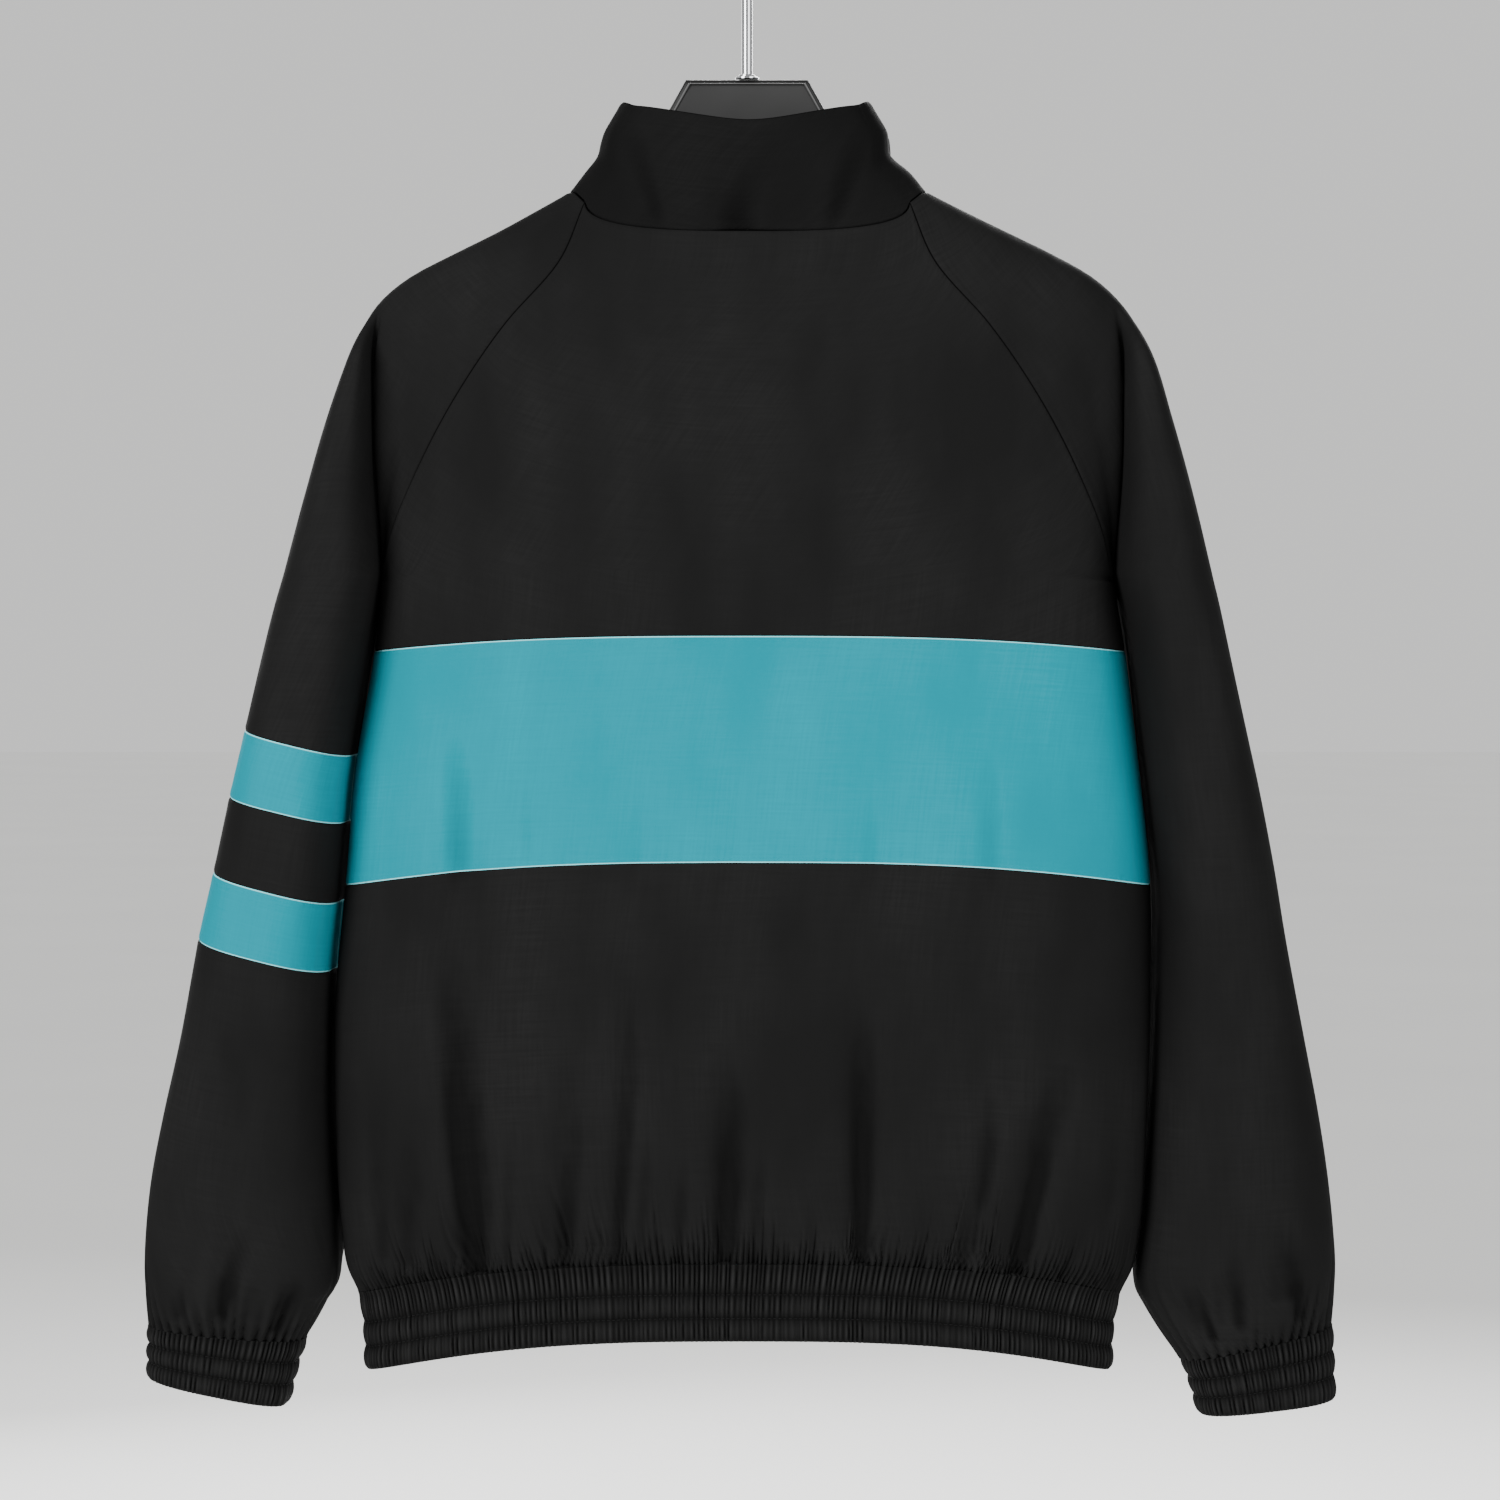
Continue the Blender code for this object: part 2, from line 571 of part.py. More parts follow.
def between_seams(face, k):
    """A row of the torso above the underarm, from the left raglan seam to the right one."""
    t = head_step(k)
    middle_top = BACK_NECK_Z if face == "back" else FRONT_NECK_Z
    rise = float(read(LEVELS, face, UNDERARM_Z))
    middle_z = middle_top + (UNDERARM_Z + rise - middle_top) * t
    seam_z = float(seam_height(face, t))
    start_x = float(seam_x(face, t))
    halves = []
    for side in ("left", "right"):
        span = np.linspace(0.0, 1.0, 120)
        z = middle_z + (seam_z - middle_z) * (1 - span) ** 2
        joined = float(angle_at_x(start_x, read(OUTLINE, side, seam_z)))
        parted = float(angle_at_x(start_x, body_width(side, face, seam_z)))
        x, y = body_point(joined + (math.pi / 2 - joined) * span, parted + (math.pi / 2 - parted) * span,
                          z, side, face)
        sign = 1.0 if side == "left" else -1.0
        out = 1.0 if face == "back" else -1.0
        half = np.stack([x * sign, y * out, z], axis=1)
        half[0] = seam_point(side, face, k)
        halves.append(half)
    return np.concatenate([halves[0], halves[1][::-1][1:]])


def cut_at_zip(line):
    """A front row from the left side to the right, as its left and right parts at the zip."""
    left = line[line[:, 0] > FRONT_EDGE]
    right = line[line[:, 0] < -FRONT_EDGE]
    parts = []
    for part, edge in ((left, FRONT_EDGE), (right[::-1], -FRONT_EDGE)):
        near = part[-1].copy()
        near[0] = edge
        parts.append(np.concatenate([part, [near]]))
    return parts


def torso_rows(face):
    """Every row of the torso, front or back, from the neck seam to the hem."""
    upper, band, lower = torso_levels()
    rows = [between_seams(face, k) for k in range(HEAD_ROWS)]
    for side_z in upper + band[1:] + lower[1:]:
        rows.append(folded(level_line(face, side_z), face, side_z))
    return rows


# ---------------------------------------------------------------- walls
class Piece:
    """A cloth piece: grids of points of its outer face, joined where they share points."""

    def __init__(self, name, kind, grids):
        self.name = name
        self.kind = kind
        self.grids = [np.array(grid) for grid in grids]


def key(point):
    return tuple(np.round(point, 5) + 0.0)


def faces_of(piece):
    """Vertex places and faces of a piece, with coincident points merged."""
    index = {}
    points = []
    faces = []
    for grid in piece.grids:
        numbers = np.zeros(grid.shape[:2], int)
        for r in range(grid.shape[0]):
            for c in range(grid.shape[1]):
                name = key(grid[r, c])
                if name not in index:
                    index[name] = len(points)
                    points.append(grid[r, c])
                numbers[r, c] = index[name]
        for r in range(grid.shape[0] - 1):
            for c in range(grid.shape[1] - 1):
                corners = [numbers[r, c], numbers[r + 1, c], numbers[r + 1, c + 1], numbers[r, c + 1]]
                kept = [n for i, n in enumerate(corners) if n != corners[i - 1]]
                if len(set(kept)) >= 3:
                    faces.append(kept)
    return np.array(points), faces


def face_normal(points, face):
    total = np.zeros(3)
    for i in range(1, len(face) - 1):
        total += np.cross(points[face[i]] - points[face[0]], points[face[i + 1]] - points[face[0]])
    return total


def shared_normals(pieces):
    """Outward directions, summed over every piece that meets at a point.

    Each face counts alike, whatever its size, so the valley's bottom points straight out of it.
    """
    normals = {}
    for piece in pieces:
        points, faces = faces_of(piece)
        for face in faces:
            normal = face_normal(points, face)
            normal /= np.linalg.norm(normal)
            for corner in face:
                name = key(points[corner])
                normals[name] = normals.get(name, np.zeros(3)) + normal
    unit = {name: value / np.linalg.norm(value) for name, value in normals.items()}
    for side in ("left", "right"):
        if key(underarm_point(side)) in unit:
            unit[key(underarm_point(side))] = np.array([0.0, 0.0, -1.0])
    return unit


def edge_shift(points, faces, normals, gap):
    """Moves the rim of a piece in by half the seam gap, square to each rim edge."""
    owners = {}
    for face in faces:
        for i, a in enumerate(face):
            owners.setdefault((a, face[(i + 1) % len(face)]), []).append(face)
    rim = [edge for edge in owners if (edge[1], edge[0]) not in owners]
    inward = {}
    for a, b in rim:
        normal = normals[a] + normals[b]
        direction = np.cross(normal, points[b] - points[a])
        direction /= np.linalg.norm(direction)
        inward.setdefault(a, []).append(direction)
        inward.setdefault(b, []).append(direction)
    moved = points.copy()
    for vertex, directions in inward.items():
        first, second = directions[0], directions[-1]
        moved[vertex] += (first + second) / max(1 + float(first @ second), 0.4) * gap / 2
    return moved, rim


def cloth_wall(piece, normals):
    """Lofts a piece's outer and inner faces and its rim into one closed wall.

    The two faces are built point by point, and not with Solidify, because the pieces on both
    sides of a seam have to turn its corner in the same direction to stay clear of each other.
    """
    points, faces = faces_of(piece)
    directions = np.array([normals[key(point)] for point in points])
    outer, rim = edge_shift(points, faces, directions, SEAM_GAP)
    inner = outer - directions * WALL
    count = len(outer)
    wall_faces = [list(face) for face in faces]
    wall_faces += [[n + count for n in reversed(face)] for face in faces]
    for a, b in rim:
        # the same diagonal from both sides of a seam, so that a twisted rim fits its neighbour's
        if points[a][2] < points[b][2]:
            wall_faces += [[b, a, b + count], [a, a + count, b + count]]
        else:
            wall_faces += [[b, a, a + count], [b, a + count, b + count]]
    mesh = bpy.data.meshes.new(piece.name)
    mesh.from_pydata(np.concatenate([outer, inner]).tolist(), [], wall_faces)
    mesh.validate()
    return place(mesh, piece.name, piece.kind)


def ring_line(rows, k, side):
    """A section of a hanging sleeve or cuff, from its inner end round the front and back to it."""
    angle = np.linspace(-math.pi, math.pi, 241)
    half_width = (rows["outer_x"][k] - rows["inner_x"][k]) / 2
    x, y = on_section(angle, half_width, rows["half_depth"][k], SLEEVE_POWER)
    share = (x / half_width + 1) / 2
    z = rows["inner_z"][k] + (rows["outer_z"][k] - rows["inner_z"][k]) * share
    sign = 1.0 if side == "left" else -1.0
    middle = rows["inner_x"][k] + half_width
    return np.stack([(middle + x) * sign, y - rows["forward"][k], z], axis=1)


def sleeve_rings(side):
    """Rows of points down the hanging sleeve, from below the underarm to the cuff."""
    rows = LEFT_SLEEVE if side == "left" else RIGHT_SLEEVE
    rings = []
    for k in range(1, len(rows["outer_x"])):
        line = ring_line(rows, k, side)
        middle = len(line) // 2
        front = resample(line[:middle + 1], even(SLEEVE_COLUMNS // 2))
        back = resample(line[middle:], even(SLEEVE_COLUMNS // 2))
        ring = np.concatenate([front, back[1:]])
        ring[-1] = ring[0]
        rings.append(ring)
    return rings


def outward(grid, side):
    """A grid with its columns counter-clockwise seen from above, so that its faces point out."""
    grid = np.array(grid)
    return grid if side == "left" else grid[:, ::-1]


def sleeve_pieces():
    pieces = []
    for side in ("left", "right"):
        head = [head_row(side, k) for k in range(HEAD_ROWS + 1)]
        first_ring = head[-1][HEAD_COLUMNS:HEAD_COLUMNS + SLEEVE_COLUMNS + 1]
        rings = [first_ring] + sleeve_rings(side)
        if side == "right":
            grids = [outward(head, side), outward(rings, side)]
            pieces.append(Piece("sleeve_right", "black_cloth", grids))
            continue
        first, second, third, fourth = STRIPE_ROWS
        pieces.append(Piece("sleeve_left_upper", "black_cloth", [head, rings[:first + 1]]))
        pieces.append(Piece("sleeve_left_stripe_upper", "teal_cloth", [rings[first:second + 1]]))
        pieces.append(Piece("sleeve_left_middle", "black_cloth", [rings[second:third + 1]]))
        pieces.append(Piece("sleeve_left_stripe_lower", "teal_cloth", [rings[third:fourth + 1]]))
        pieces.append(Piece("sleeve_left_lower", "black_cloth", [rings[fourth:]]))
    return pieces


def torso_pieces():
    pieces = []
    upper, band, lower = torso_levels()
    band_row = HEAD_ROWS + len(upper) - 1
    lower_row = band_row + len(band) - 1
    stretches = (("upper", "black_cloth", 0, band_row), ("band", "teal_cloth", band_row, lower_row),
                 ("lower", "black_cloth", lower_row, None))
    back = [resample(row, side_weighted(BACK_COLUMNS)) for row in torso_rows("back")]
    fronts = {"left": [], "right": []}
    for row in torso_rows("front"):
        left, right = cut_at_zip(row)
        weights = side_weighted(2 * FRONT_COLUMNS)[:FRONT_COLUMNS + 1] * 2
        fronts["left"].append(resample(left, weights)[::-1])
        fronts["right"].append(resample(right, weights))
    for name, kind, first, last in stretches:
        stop = None if last is None else last + 1
        pieces.append(Piece(f"back_{name}", kind, [back[first:stop]]))
        for side in ("left", "right"):
            pieces.append(Piece(f"front_{name}_{side}", kind, [fronts[side][first:stop]]))
    return pieces, back, fronts


def neck_loop(fronts, back):
    """The neck seam's stretches, from the zip round the wearer's left, back and right to the zip."""
    left = head_row("left", 0)
    right = head_row("right", 0)[::-1]
    return [fronts["left"][0], left, back[0], right, fronts["right"][0]]


def collar_piece(loop):
    """A stand-up collar on the neck seam's loop, drawn in towards its top edge."""
    rows = [resample(stretch, even(count)) for stretch, count in zip(loop, COLLAR_COLUMNS)]
    base = np.concatenate([rows[0]] + [row[1:] for row in rows[1:]])
    share = 1 - np.abs(base[:, 0]) / np.abs(base[:, 0]).max()
    middle = np.where(base[:, 1] > 0, COLLAR_BACK_Z, COLLAR_FRONT_Z)
    top = COLLAR_SIDE_Z + (middle - COLLAR_SIDE_Z) * share
    grid = []
    for t in COLLAR_ROWS:
        row = base.copy()
        row[:, 0] *= np.where(row[:, 0] > 0, read(COLLAR, "left", t), read(COLLAR, "right", t))
        row[0, 0] = FRONT_EDGE
        row[-1, 0] = -FRONT_EDGE
        row[:, 1] *= np.where(row[:, 1] > 0, read(COLLAR, "back", t), read(COLLAR, "front", t))
        row[:, 2] += (top - row[:, 2]) * t
        grid.append(row)
    grid[0][:, 2] += COLLAR_LIFT
    return Piece("collar", "black_cloth", [np.array(grid)[::-1]])


# ---------------------------------------------------------------- elastic hem and cuffs
def plan_normals(line, closed):
    """Level directions out of a line that runs counter-clockwise seen from above."""
    if closed:
        along = np.roll(line, -1, axis=0) - np.roll(line, 1, axis=0)
    else:
        along = np.gradient(line, axis=0)
    normals = np.stack([along[:, 1], -along[:, 0], np.zeros(len(line))], axis=1)
    return normals / np.linalg.norm(normals, axis=1)[:, None]


def gathered_wall(name, lines, waves, inner_rows, inner_stride, closed):
    """An elastic strip: gathers raised in its outer face, over a plain inside.

    The inside follows the given rows only, and takes one column for every inner_stride of the
    outer face's.
    """
    columns = 2 * waves if closed else 2 * waves + 1
    fractions = even(2 * waves)[:columns]
    pinches = (0.0, CHANNEL_PINCH, CHANNEL_PINCH, 0.0)
    wave = np.arange(columns) % 2 * WAVE_HEIGHT
    outer = []
    inner = []
    for line, pinch in zip(lines, pinches):
        base = resample(line, fractions)
        normals = plan_normals(base, closed)
        outer.append(base + normals * (wave - pinch)[:, None])
        inner.append((base - normals * ELASTIC_WALL)[::inner_stride])
    inner = [inner[row] for row in inner_rows]
    points = np.concatenate(outer + inner)
    inner_columns = len(inner[0])
    last = len(lines) - 1
    last_inner = len(inner) - 1
    first_inner = len(lines) * columns

    def outside(row, column):
        return row * columns + column % columns

    def inside(row, column):
        return first_inner + row * inner_columns + column % inner_columns

    faces = []
    for column in range(columns if closed else columns - 1):
        for row in range(last):
            faces.append([outside(row, column), outside(row + 1, column),
                          outside(row + 1, column + 1), outside(row, column + 1)])
    for n in range(2 * waves // inner_stride):
        for row in range(last_inner):
            faces.append([inside(row, n), inside(row, n + 1), inside(row + 1, n + 1), inside(row + 1, n)])
        start = n * inner_stride
        middle = start + inner_stride // 2
        for c in range(start, start + inner_stride):
            nearest = n if c < middle else n + 1
            faces.append([outside(0, c), outside(0, c + 1), inside(0, nearest)])
            faces.append([outside(last, c + 1), outside(last, c), inside(last_inner, nearest)])
        faces.append([outside(0, middle), inside(0, n + 1), inside(0, n)])
        faces.append([outside(last, middle), inside(last_inner, n), inside(last_inner, n + 1)])
    if not closed:
        for row in range(last):
            faces.append([inside(row + 1, 0), outside(row + 1, 0), outside(row, 0), inside(row, 0)])
            faces.append([inside(row, inner_columns - 1), outside(row, columns - 1),
                          outside(row + 1, columns - 1), inside(row + 1, inner_columns - 1)])
    mesh = bpy.data.meshes.new(name)
    mesh.from_pydata(points.tolist(), [], faces)
    mesh.validate()
    return place(mesh, name, "black_cloth")


def hem_line(side_z):
    """The hem's line at one height, from the zip round the left side, back and right side."""
    left, right = cut_at_zip(level_line("front", side_z))
    return np.concatenate([left[::-1], level_line("back", side_z)[1:], right[1:]])


def elastic_pieces():
    hem_lines = [hem_line(z) for z in HEM_ROWS_Z]
    gathered_wall("hem", hem_lines, HEM_WAVES, range(len(hem_lines)), HEM_INNER_STRIDE, closed=False)
    for side, rows in (("left", LEFT_CUFF), ("right", RIGHT_CUFF)):
        lines = [ring_line(rows, k, side) for k in range(len(rows["outer_x"]))]
        if side == "right":
            lines = [line[::-1] for line in lines]
        gathered_wall(f"cuff_{side}", lines, CUFF_WAVES, (0, -1), CUFF_INNER_STRIDE, closed=True)


# ---------------------------------------------------------------- hanger
def loft(name, kind, sections, smooth=True):
    """A closed solid through rings of equal count, with a face at each end."""
    count = len(sections[0])
    faces = []
    for row in range(len(sections) - 1):
        for c in range(count):
            n = (c + 1) % count
            faces.append([row * count + c, row * count + n, (row + 1) * count + n, (row + 1) * count + c])
    faces.append(list(range(count))[::-1])
    faces.append([(len(sections) - 1) * count + c for c in range(count)])
    mesh = bpy.data.meshes.new(name)
    mesh.from_pydata(np.concatenate(sections).tolist(), [], faces)
    mesh.validate()
    return place(mesh, name, kind, smooth)


def hanger():
    """The moulded block in the neck and the arms under the shoulders, as one loft."""
    angle = np.linspace(0.0, 2 * math.pi, HANGER_SIDES + 1)[:-1] + math.pi / HANGER_SIDES
    sections = []
    count = len(HANGER["x"])
    for i in list(range(count - 1, 0, -1)) + list(range(count)):
        sign = -1.0 if len(sections) < count - 1 else 1.0
        middle = (HANGER["top"][i] + HANGER["bottom"][i]) / 2
        half_height = (HANGER["top"][i] - HANGER["bottom"][i]) / 2
        y, z = on_section(angle, HANGER["half_depth"][i], half_height, HANGER_POWER)
        sections.append(np.stack([np.full(HANGER_SIDES, sign * HANGER["x"][i]), y, middle + z], axis=1))
    loft("hanger", "hanger_plastic", sections)


def hook_route():
    """The rod's middle line: a straight shank, a bend to one side and the arc over the rail."""
    block_top = HANGER["top"][0]
    radius = HOOK_BEND + HOOK_RADIUS
    start, end = math.radians(HOOK_START), math.radians(HOOK_END)
    arc = [(radius * math.cos(a), 0.0, radius * math.sin(a) - HOOK_BEND)
           for a in np.linspace(start, end, 20)]
    foot = np.array([0.0, 0.0, block_top + FERRULE_HEIGHT + 2 * SEAM_GAP])
    bend = np.array([0.0, 0.0, HOOK_SHANK_TOP_Z])
    reach = HOOK_EASE * (arc[0][2] - HOOK_SHANK_TOP_Z)
    leave = np.array([0.0, 0.0, reach])
    arrive = np.array([-math.sin(start), 0.0, math.cos(start)]) * reach
    points = [foot, (foot + bend) / 2]
    for u in np.linspace(0.0, 1.0, 7)[:-1]:
        pull = [bend, bend + leave, np.array(arc[0]) - arrive, np.array(arc[0])]
        weights = ((1 - u)**3, 3 * u * (1 - u)**2, 3 * u * u * (1 - u), u**3)
        points.append(sum(w * p for w, p in zip(weights, pull)))
    return [tuple(point) for point in points] + arc


def hanger_hook():
    curve = bpy.data.curves.new("hanger_hook", "CURVE")
    curve.dimensions = "3D"
    curve.bevel_depth = HOOK_RADIUS
    curve.bevel_resolution = 2
    curve.use_fill_caps = True
    spline = curve.splines.new("POLY")
    route = hook_route()
    spline.points.add(len(route) - 1)
    for point, position in zip(spline.points, route):
        point.co = (*position, 1.0)
    item = bpy.data.objects.new("hanger_hook", curve)
    collection(PARTS).objects.link(item)
    curve.materials.append(finish("hanger_hook", "chrome"))


def hanger_ferrule():
    middle = HANGER["top"][0] + SEAM_GAP + FERRULE_HEIGHT / 2
    bpy.ops.mesh.primitive_cylinder_add(vertices=16, radius=FERRULE_RADIUS, depth=FERRULE_HEIGHT,
                                        location=(0.0, 0.0, middle))
    item = adopt(bpy.context.active_object, "hanger_ferrule", "chrome")
    bevel = item.modifiers.new("rounded", "BEVEL")
    bevel.width = FERRULE_HEIGHT / 4
    bevel.segments = 1
    bevel.limit_method = "ANGLE"


# ---------------------------------------------------------------- zip
def front_line(fronts, collar):
    """The cloth's outer face beside the zip, as y and z from the collar's top to the hem's edge."""
    rows = [row[0] for row in collar.grids[0]]
    rows += [row[0] for row in fronts["left"][2::2]]
    rows += [hem_line(z)[0] for z in HEM_ROWS_Z[1:]]
    return np.array([(point[1], point[2]) for point in rows])


def zip_strip(name, kind, line, start_x, stop_x, set_back, thickness):
    """A strip that follows the front from top to bottom, set back from the cloth's face."""
    along = np.gradient(line, axis=0)
    along /= np.linalg.norm(along, axis=1)[:, None]
    back = np.stack([-along[:, 1], along[:, 0]], axis=1)
    sections = []
    for middle, inward, depth in zip(line, back, set_back):
        face = middle + inward * depth
        rear = middle + inward * (depth + thickness)
        sections.append([(start_x, *face), (start_x, *rear), (stop_x, *rear), (stop_x, *face)])
    loft(name, kind, np.array(sections), smooth=False)


def cut_line(line, top_z, bottom_z):
    """The part of the front's line between two heights."""
    heights = -line[:, 1]
    kept = line[(heights > -top_z + 1e-5) & (heights < -bottom_z - 1e-5)]
    ends = [(np.interp(-z, heights, line[:, 0]), z) for z in (top_z, bottom_z)]
    return np.concatenate([[ends[0]], kept, [ends[1]]])


def rounded_box(name, kind, size, location, width):
    bpy.ops.mesh.primitive_cube_add(size=1.0, location=location)
    item = adopt(bpy.context.active_object, name, kind)
    item.data.transform(Matrix.Diagonal((*size, 1.0)))
    bevel = item.modifiers.new("rounded", "BEVEL")
    bevel.width = width
    bevel.segments = 2
    return item


def zip_slider(face_y, top_z):
    """The slider's body with the arch over the pull tab's bar, at the chain's top end."""
    width, depth, height = SLIDER_SIZE
    item = rounded_box("zip_slider", "zip_plastic", SLIDER_SIZE,
                       (0.0, face_y + depth / 2, top_z - height / 2), SLIDER_ROUNDING)
    bpy.ops.mesh.primitive_torus_add(major_radius=BAIL_RADIUS, minor_radius=BAIL_WIRE,
                                     major_segments=24, minor_segments=8,
                                     location=(0.0, face_y, top_z - height / 2),
                                     rotation=(0.0, math.pi / 2, 0.0))
    arch = bpy.context.active_object
    arch.name = "bail_arch"
    move_to_cutters(arch)
    union = item.modifiers.new("bail", "BOOLEAN")
    union.operation = "UNION"
    union.object = arch


def zip_pull_tab(face_y, top_z):
    """A flat tab with a hole, hung by its top bar from the slider's arch."""
    width, thickness, length = TAB_SIZE
    pivot = (0.0, face_y - TAB_PIVOT_OUT, top_z - SLIDER_SIZE[2] / 2)
    item = rounded_box("zip_pull_tab", "zip_plastic", TAB_SIZE, pivot, TAB_ROUNDING)
    item.data.transform(Matrix.Translation((0.0, 0.0, TAB_BAR / 2 - length / 2)))
    hole_width, hole_height = TAB_HOLE
    hole_z = pivot[2] - (TAB_BAR + hole_height) / 2
    bpy.ops.mesh.primitive_cube_add(size=1.0, location=(0.0, pivot[1], hole_z))
    cutter = bpy.context.active_object
    cutter.name = "tab_hole"
    cutter.data.transform(Matrix.Diagonal((hole_width, 4 * thickness, hole_height, 1.0)))
    move_to_cutters(cutter)
    cut = item.modifiers.new("hole", "BOOLEAN")
    cut.operation = "DIFFERENCE"
    cut.object = cutter


def front_zip(fronts, collar):
    line = front_line(fronts, collar)
    slider_top = line[0, 1] - SLIDER_DROP
    slider_bottom = slider_top - SLIDER_SIZE[2]
    slider_face = float(np.interp(-slider_top, -line[:, 1], line[:, 0])) - SLIDER_FACE
    hem_edge = line[-1, 1]
    box_top = hem_edge + BOX_SIZE[2]
    chain = cut_line(line, slider_bottom - END_ROOM, box_top + END_ROOM)
    zip_strip("zip_chain", "zip_plastic", chain, -CHAIN_HALF_WIDTH, CHAIN_HALF_WIDTH,
              np.zeros(len(chain)), CHAIN_THICKNESS)
    tape = cut_line(line, line[0, 1] - SEAM_GAP, hem_edge + SEAM_GAP)
    beside_hem = tape[:, 1] < hem_line(HEM_ROWS_Z[0])[0][2] + TAPE_WIDTH
    behind = np.where(beside_hem, ELASTIC_WALL, WALL) + 2 * SEAM_GAP
    for side, sign in (("left", 1.0), ("right", -1.0)):
        edges = sorted((sign * TAPE_INNER_X, sign * (TAPE_INNER_X + TAPE_WIDTH)))
        zip_strip(f"zip_tape_{side}", "zip_tape", tape, *edges, behind, TAPE_THICKNESS)
    box_face = float(line[-1, 0])
    rounded_box("zip_box", "zip_plastic", BOX_SIZE,
                (0.0, box_face - BOX_FACE + BOX_SIZE[1] / 2, hem_edge + BOX_SIZE[2] / 2), BOX_ROUNDING)
    zip_slider(slider_face, slider_top)
    zip_pull_tab(slider_face, slider_top)


def main():
    clear_scene()
    torso, back, fronts = torso_pieces()
    collar = collar_piece(neck_loop(fronts, back))
    cloth = torso + sleeve_pieces()
    normals = shared_normals(cloth)
    for piece in cloth:
        cloth_wall(piece, normals)
    cloth_wall(collar, shared_normals([collar]))
    elastic_pieces()
    hanger()
    hanger_hook()
    hanger_ferrule()
    front_zip(fronts, collar)


main()
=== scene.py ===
import math

import bmesh
import bpy
import numpy as np
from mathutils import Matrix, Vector, noise


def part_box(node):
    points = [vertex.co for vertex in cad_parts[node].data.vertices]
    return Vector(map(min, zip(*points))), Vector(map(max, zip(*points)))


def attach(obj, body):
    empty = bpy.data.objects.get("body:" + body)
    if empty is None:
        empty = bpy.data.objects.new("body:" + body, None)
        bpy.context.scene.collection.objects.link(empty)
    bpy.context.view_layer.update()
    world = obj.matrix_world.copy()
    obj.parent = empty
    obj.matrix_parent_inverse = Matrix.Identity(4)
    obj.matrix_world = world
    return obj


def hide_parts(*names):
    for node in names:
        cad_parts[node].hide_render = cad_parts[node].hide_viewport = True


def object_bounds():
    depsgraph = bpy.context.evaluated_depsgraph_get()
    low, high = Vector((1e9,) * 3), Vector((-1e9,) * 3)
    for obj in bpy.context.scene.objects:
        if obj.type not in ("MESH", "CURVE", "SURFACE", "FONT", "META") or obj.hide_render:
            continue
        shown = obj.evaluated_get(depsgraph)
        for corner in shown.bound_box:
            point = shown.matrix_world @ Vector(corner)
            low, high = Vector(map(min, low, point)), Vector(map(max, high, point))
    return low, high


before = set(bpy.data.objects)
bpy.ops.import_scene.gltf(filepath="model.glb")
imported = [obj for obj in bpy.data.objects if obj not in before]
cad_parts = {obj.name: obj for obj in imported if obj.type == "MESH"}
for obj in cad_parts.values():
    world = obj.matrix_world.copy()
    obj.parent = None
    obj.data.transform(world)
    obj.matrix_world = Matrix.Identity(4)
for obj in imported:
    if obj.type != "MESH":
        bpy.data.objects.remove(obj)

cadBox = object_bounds()
millimetre = 0.001
pieces = {}                                # every finished piece by name
sideSign = {"left": 1.0, "right": -1.0}    # where a side lies on X
faceSign = {"back": 1.0, "front": -1.0}    # where a face lies on Y


def applySettings(item, settings):
    for name, value in settings.items():
        setattr(item, name, value)


def placed(name, data, **settings):
    # a new object in the scene
    item = bpy.data.objects.new(name, data)
    applySettings(item, settings)
    bpy.context.scene.collection.objects.link(item)
    return item


# the camera looks straight at the back, level with the chest; the picture's middle lies below its axis
camera = bpy.data.cameras.new("camera")
applySettings(camera, {"sensor_width": 36.0, "lens": 91.4, "shift_x": 0.002, "shift_y": -0.0973,
                       "clip_start": 0.05, "clip_end": 100.0})
bpy.context.scene.camera = placed("camera", camera, location=(0.0, 2.4, -0.448),
                                  rotation_euler=(math.pi / 2, 0.0, math.pi))


def linear(hexColour):
    # sRGB hex to linear, with alpha
    channels = [int(hexColour[i:i + 2], 16) / 255 for i in (1, 3, 5)]
    return (*[c / 12.92 if c <= 0.04045 else ((c + 0.055) / 1.055) ** 2.4 for c in channels], 1.0)


def fillSockets(tree, node, inputs):
    # each socket, by name or number, takes a value or another node's output
    for name, value in inputs.items():
        if isinstance(value, bpy.types.NodeSocket):
            tree.links.new(value, node.inputs[name])
        else:
            node.inputs[name].default_value = value


def addNode(tree, kind, inputs=None, output=0, **settings):
    # adds a node with its settings and links, and gives back one of its outputs
    node = tree.nodes.new(kind)
    applySettings(node, settings)
    fillSockets(tree, node, inputs or {})
    return node.outputs[output] if len(node.outputs) else node


coordinates = {"object": ("ShaderNodeTexCoord", "Object", {}),
               "cloth": ("ShaderNodeUVMap", "UV", {"uv_map": "cloth"})}


def newMaterial(name, *noises):
    # a material, its tree and its noises, from their coordinates, scale, stretch, detail and roughness
    material = bpy.data.materials.new(name)
    material.use_nodes = True
    tree = material.node_tree
    drawn = []
    for system, scale, stretch, detail, roughness in noises:
        kind, output, settings = coordinates[system]
        place = addNode(tree, kind, None, output, **settings)
        place = addNode(tree, "ShaderNodeMapping", {"Vector": place, "Scale": stretch})
        drawn.append(addNode(tree, "ShaderNodeTexNoise", {"Vector": place, "Scale": scale, "Detail": detail,
                                                          "Roughness": roughness}, "Fac"))
    return material, tree, drawn


